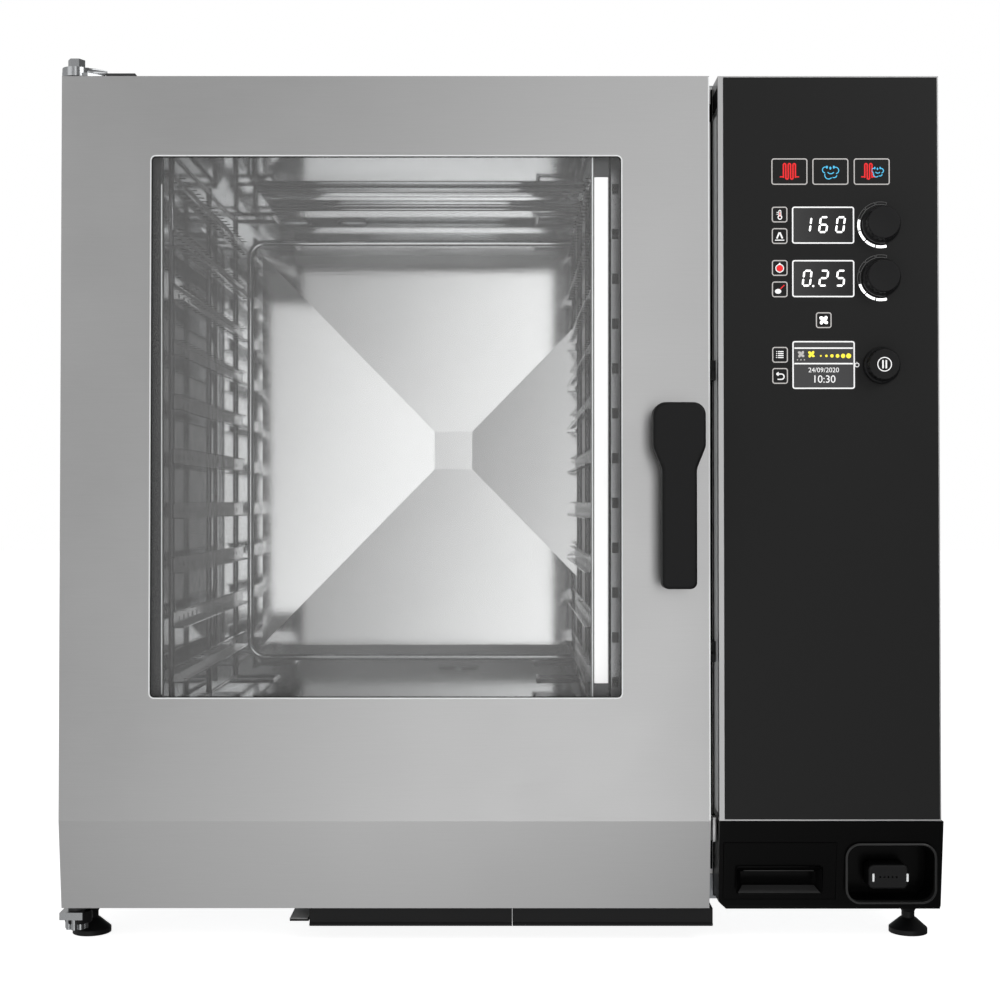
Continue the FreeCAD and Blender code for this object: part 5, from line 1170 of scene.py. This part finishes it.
@dataclass
class HingeArm:
    """Knurled sleeve, cone and flat arm over the upper hinge, with the pale bracket of the drip tray in painted
    light.
    """

    y: float = -0.376
    z: float = 1.0605

    def build(self) -> None:
        """Make the parts of the upper hinge and the bracket."""
        turn = Matrix.Rotation(QUARTER, 4, "Y")
        for name, start, profile, finish in (
                ("hinge_sleeve", -0.509, [(0.0, 0.0), (6.3, 0.0), (6.6, 0.4), (6.6, 5.6), (6.3, 6.0), (0.0, 6.0)],
                 HINGE_DARK),
                ("hinge_cone", -0.5028, [(0.0, 0.0), (5.8, 0.0), (6.0, 0.5), (5.4, 8.0), (2.4, 22.0), (0.0, 22.0)],
                 SCREW_STEEL)):
            where = Matrix.Translation((start, self.y, self.z)) @ turn
            make_piece(name, lathe(profile, 32), where, finish, "cabinet", 40.0)
        for name, size, place, finish, slot in (
                ("hinge_strap", (36.0, 12.0, 3.4), (-0.463, self.y, 1.0572), HINGE_DARK, "screw_steel"),
                ("hinge_base", (15.0, 14.0, 3.0), (-0.521, self.y, 1.0572), HINGE_DARK, "screw_steel"),
                ("hinge_stop", (8.0, 8.0, 7.5), (-0.5295, self.y, 1.0622), BLACK_MOULDING, "screw_steel"),
                # Pale grey painted light keeps the drip tray's bracket pale in the shade.
                ("drip_tray_end", (22.0, 0.6, 14.4), (-0.2455, -0.3264, 0.0352), PALE_SHEET_PAINTED_LIGHT, "galvanised"),
                ("drip_tray_shelf", (22.0, 58.0, 0.5), (-0.2455, -0.3555, 0.0279), PALE_SHEET_PAINTED_LIGHT, "galvanised")):
            make_block(name, size, min(size) * 0.25, place, finish, "cabinet")


@dataclass
class ColumnGap:
    """Door edge in painted highlight, painted shade down the gap between door and column, and a pale band of painted
    highlight on the column's wall.
    """

    front: LeaningFront
    low_mm: float = 80.0
    high_mm: float = 1048.0
    fold_z: float = 0.152
    seal_x: float = 0.2626

    def build(self) -> None:
        """Make the strips of the gap, the black cap of painted shade at its top and the bracket at its foot."""
        door_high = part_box("door_skin")[1]
        # Pale line of painted highlight along the door's edge.
        edge = Artwork(0.2)
        edge.bar(0.0, 0.0, 0.0, (door_high.z - self.fold_z) / MM - 1.0, 1.5)
        edge.place("door_bright_edge", self.front.at(door_high.x - 0.8 * MM, self.fold_z, 0.05 * MM), PALE_PAINTED_HIGHLIGHT,
                   "door", "satin_steel")
        frame_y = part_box("front_frame")[0].y
        # Black line of painted shade down the gap.
        seal = Artwork(0.5)
        seal.bar(0.0, self.low_mm, 0.0, self.high_mm, 2.6)
        seal.place("column_seal", facing(self.seal_x, frame_y - 0.1 * MM, 0.0), BLACK_PAINTED_SHADE, "cabinet",
                   "seal_rubber")
        # Pale band of painted highlight on the column's wall; black pieces of painted shade at its top.
        self.side_band("column_return", 160.0, 1008.0, -38.0, -14.0, PALE_PAINTED_HIGHLIGHT)
        self.side_band("column_return_cap", 1016.0, 1040.0, -50.0, -6.0, BLACK_PAINTED_SHADE)
        make_block("gap_cap", (4.0, 1.5, 22.0), 0.5, (0.2605, frame_y - 1.2 * MM, 1.019), BLACK_PAINTED_SHADE, "cabinet")
        make_block("column_corner_bracket", (5.2, 14.0, 30.0), 0.6, (0.2612, -0.380, 0.137), SATIN_STEEL, "cabinet")

    def side_band(self, name: str, low: float, high: float, back: float, fore: float, finish: Finish) -> None:
        """Lay one thin strip on the column's left wall; in millimetres.

        Args:
            name: Name of the piece.
            low: Its lower end.
            high: Its upper end.
            back: Rear edge, as a lift from the leaning front.
            fore: Front edge, as a lift from the leaning front.
            finish: Its finish.
        """
        band = rounded_block((0.3, high - low, fore - back), 0.1, 1)
        wall_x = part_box("column_shell")[0].x - 0.2 * MM
        where = self.front.at(wall_x, (low + high) / 2 * MM, (back + fore) / 2 * MM)
        make_piece(name, band, where, finish, "cabinet")


@dataclass
class LowerBoxTrim:
    """Rim of the spray gun's recess, bevel of the drawer pull and two painted glints on the gun; the rim and the
    pull's ledge and lip carry painted highlights.

    The recess and the pull are given by left, right, low and high side in millimetres.
    """

    recess: tuple = (419.0, 525.0, 53.0, 122.0)
    pull: tuple = (284.5, 389.5, 62.0, 95.0)
    button_z: float = 0.0795

    def build(self) -> None:
        """Make the rim, the trim of the pull and the painted glints."""
        left, right, low, high = self.recess
        # Lighter rim of painted highlight round the recess.
        rim = swept_ring(right - left, high - low, 16.0, [(2.2, 0.0), (1.4, 0.9), (0.2, 1.1), (-0.6, 0.0)])
        where = facing((left + right) / 2 * MM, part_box("lower_housing")[0].y, (low + high) / 2 * MM)
        make_piece("recess_rim", rim, where, BLACK_RIM_PAINTED_HIGHLIGHT, "cabinet", 60.0)
        self.pull_trim(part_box("filter_drawer")[0].y)
        gun_low, gun_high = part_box("spray_gun")
        # Two small pale blocks of painted glint on the gun.
        for name, x in (("gun_button_left", gun_low.x + 6.0 * MM), ("gun_button_right", gun_high.x - 1.5 * MM)):
            make_block(name, (2.6, 2.0, 10.0), 0.9, (x, gun_low.y - 0.6 * MM, self.button_z), PALE_PAINTED_HIGHLIGHT, "gun",
                       3)

    def pull_trim(self, drawer_y: float) -> None:
        """Make the bevel, the slanting ledge and the lip of the drawer's pull; ledge and lip carry painted
        highlights.

        Args:
            drawer_y: Frame Y of the drawer's front.
        """
        left, right, low, high = self.pull
        middle = (left + right) / 2 * MM
        bevel = swept_ring(right - left - 2.0, high - low - 2.0, 3.0,
                           [(0.8, -0.5), (-5.5, -9.0), (-6.0, -8.6), (0.4, 0.0)], 4)
        make_piece("pull_bevel", bevel, facing(middle, drawer_y, (low + high) / 2 * MM), BLACK_BOX, "drawer")
        ledge = bmesh.new()
        outline = [(left + 3.0, 0.6, low + 1.6), (right - 3.0, 0.6, low + 1.6), (right - 9.0, 9.4, low + 9.0),
                   (left + 9.0, 9.4, low + 9.0)]
        lower = [ledge.verts.new(corner) for corner in outline]
        upper = [ledge.verts.new((x, y, z + 0.3)) for x, y, z in outline]
        ledge.faces.new(upper)
        ledge.faces.new(lower[::-1])
        for i, k in ((0, 1), (1, 2), (2, 3), (3, 0)):
            ledge.faces.new((upper[i], lower[i], lower[k], upper[k]))
        bmesh.ops.recalc_face_normals(ledge, faces=ledge.faces)
        make_piece("pull_ledge", ledge, Matrix.Translation((0.0, drawer_y, 0.0)), BLACK_RIM_PAINTED_HIGHLIGHT, "drawer")
        make_block("pull_lip", (right - left - 20.0, 2.0, 1.2), 0.4, (middle, drawer_y + 4.0 * MM, (high - 5.0) * MM),
                   BLACK_RIM_PAINTED_HIGHLIGHT, "drawer")


# ------------------------------------------------------------------ camera, light and floor
@dataclass
class Studio:
    """Camera straight in front, pale floor and soft studio light."""

    camera_distance: float = 1.9
    camera_height: float = 0.5357
    lens_mm: float = 56.77
    sensor_mm: float = 36.0
    camera_shift: float = 0.002
    floor_size: float = 30.0
    sky_tilt: float = -0.3
    sky_dip: float = -0.4
    sky_left: float = 0.42
    sky_right: float = 1.5
    sky_edge: float = 0.1
    sky_low: float = 0.25
    sky_high: float = 0.4
    aim_height: float = 0.55
    front_y: float = field(default_factory=lambda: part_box("control_fascia")[0].y)

    def build(self) -> None:
        """Make the stage and the light."""
        self.add_camera()
        self.add_floor()
        self.add_world()
        self.lamp("key", (1.9, self.front_y - 1.6, 2.0), 1.4, 16.0)
        self.lamp("fill", (-2.2, self.front_y - 1.8, 1.6), 1.6, 4.0)
        self.lamp("top", (0.0, 0.0, 2.8), 1.8, 14.0)

    def add_camera(self) -> None:
        """Place the camera at the height and distance of the view."""
        data = bpy.data.cameras.new("camera")
        data.lens = self.lens_mm
        data.sensor_width = self.sensor_mm
        data.shift_y = self.camera_shift
        camera = add_object("camera", data)
        camera.location = (0.0, self.front_y - self.camera_distance, self.camera_height)
        camera.rotation_euler = (QUARTER, 0.0, 0.0)
        bpy.context.scene.camera = camera

    def add_floor(self) -> None:
        """Lay a wide pale floor under the oven."""
        mesh = bpy.data.meshes.new("floor")
        shape = bmesh.new()
        bmesh.ops.create_grid(shape, x_segments=1, y_segments=1, size=self.floor_size / 2)
        shape.to_mesh(mesh)
        shape.free()
        floor = add_object("floor", mesh)
        pale = Finish("pale_floor", "#f7f7f7", 0.8, colour_spread=0.01, bump=0.0, grain_mm=200.0, cloud_mm=900.0,
                      glow=0.95)
        mesh.materials.append(pale.material())
        floor.visible_glossy = False

    def add_world(self) -> None:
        """Surround the stage with a soft sky, darker to the left and brighter to the right."""
        world = bpy.data.worlds.new("studio")
        bpy.context.scene.world = world
        world.use_nodes = True
        tree = world.node_tree
        tree.nodes.clear()
        where = add_node(tree, "TexCoord").outputs["Generated"]
        x, _, z = add_node(tree, "SeparateXYZ", links={"Vector": where}).outputs
        tilted = calculate(tree, "MULTIPLY_ADD", z, self.sky_tilt, x)
        dipping = calculate(tree, "MULTIPLY_ADD", x, self.sky_dip, z)
        total = map_range(tree, tilted, (-0.17, 0.08), (self.sky_left, self.sky_right), "SMOOTHSTEP")
        for source, ends, levels in ((x, (0.14, 0.24), (1.0, self.sky_edge)),
                                     (dipping, (-0.62, -0.25), (self.sky_low, 1.0)),
                                     (z, (0.3, 0.8), (1.0, self.sky_high))):
            total = calculate(tree, "MULTIPLY", total, map_range(tree, source, ends, levels, "SMOOTHSTEP"))
        soft = add_node(tree, "Background", links={"Color": total})
        plain = add_node(tree, "Background", values={"Color": (1.0, 1.0, 1.0, 1.0)})
        seen = add_node(tree, "LightPath").outputs["Is Camera Ray"]
        mixed = add_node(tree, "MixShader", links={0: seen, 1: soft.outputs[0], 2: plain.outputs[0]})
        add_node(tree, "OutputWorld", links={"Surface": mixed.outputs[0]})

    def lamp(self, name: str, place: tuple, size: float, watts: float) -> None:
        """Add one square soft lamp that faces the oven.

        Args:
            name: Name of the lamp.
            place: Where it hangs.
            size: Edge length in metres.
            watts: Its power.
        """
        data = bpy.data.lights.new(name, "AREA")
        data.size = size
        data.energy = watts
        lamp = add_object(name, data)
        lamp.location = place
        aim = Vector((0.0, self.front_y, self.aim_height)) - Vector(place)
        lamp.rotation_euler = aim.to_track_quat("-Z", "Y").to_euler()


def save_sizes() -> None:
    """Update the view layer."""
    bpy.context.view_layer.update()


def main() -> None:
    """Dress the frame, build every new piece and set the stage."""
    logging.basicConfig(level=logging.INFO, format="%(message)s")
    bpy.context.scene.view_settings.view_transform = "Standard"
    dress_cad_nodes()
    front = LeaningFront()
    ControlPanel(front).build()
    Knob(front, "knob_temperature", "temperature_knob").build()
    Knob(front, "knob_time", "time_knob").build()
    Knob(front, "knob_menu", "menu_knob", has_menu_sign=True).build()
    WindowTrim(front).build()
    ChamberDetail().build()
    HingeKnob().build()
    HingeArm().build()
    ColumnGap(front).build()
    LowerBoxTrim().build()
    Studio().build()
    save_sizes()
    for piece in sorted(bpy.context.scene.objects, key=lambda item: item.name):
        if piece.type == "MESH" and piece.name not in frame["nodes"]:
            LOG.info("piece %s: %d faces, finish %s", piece.name, len(piece.data.polygons),
                     piece.data.materials[0].name)


if __name__ == "__main__":
    main()
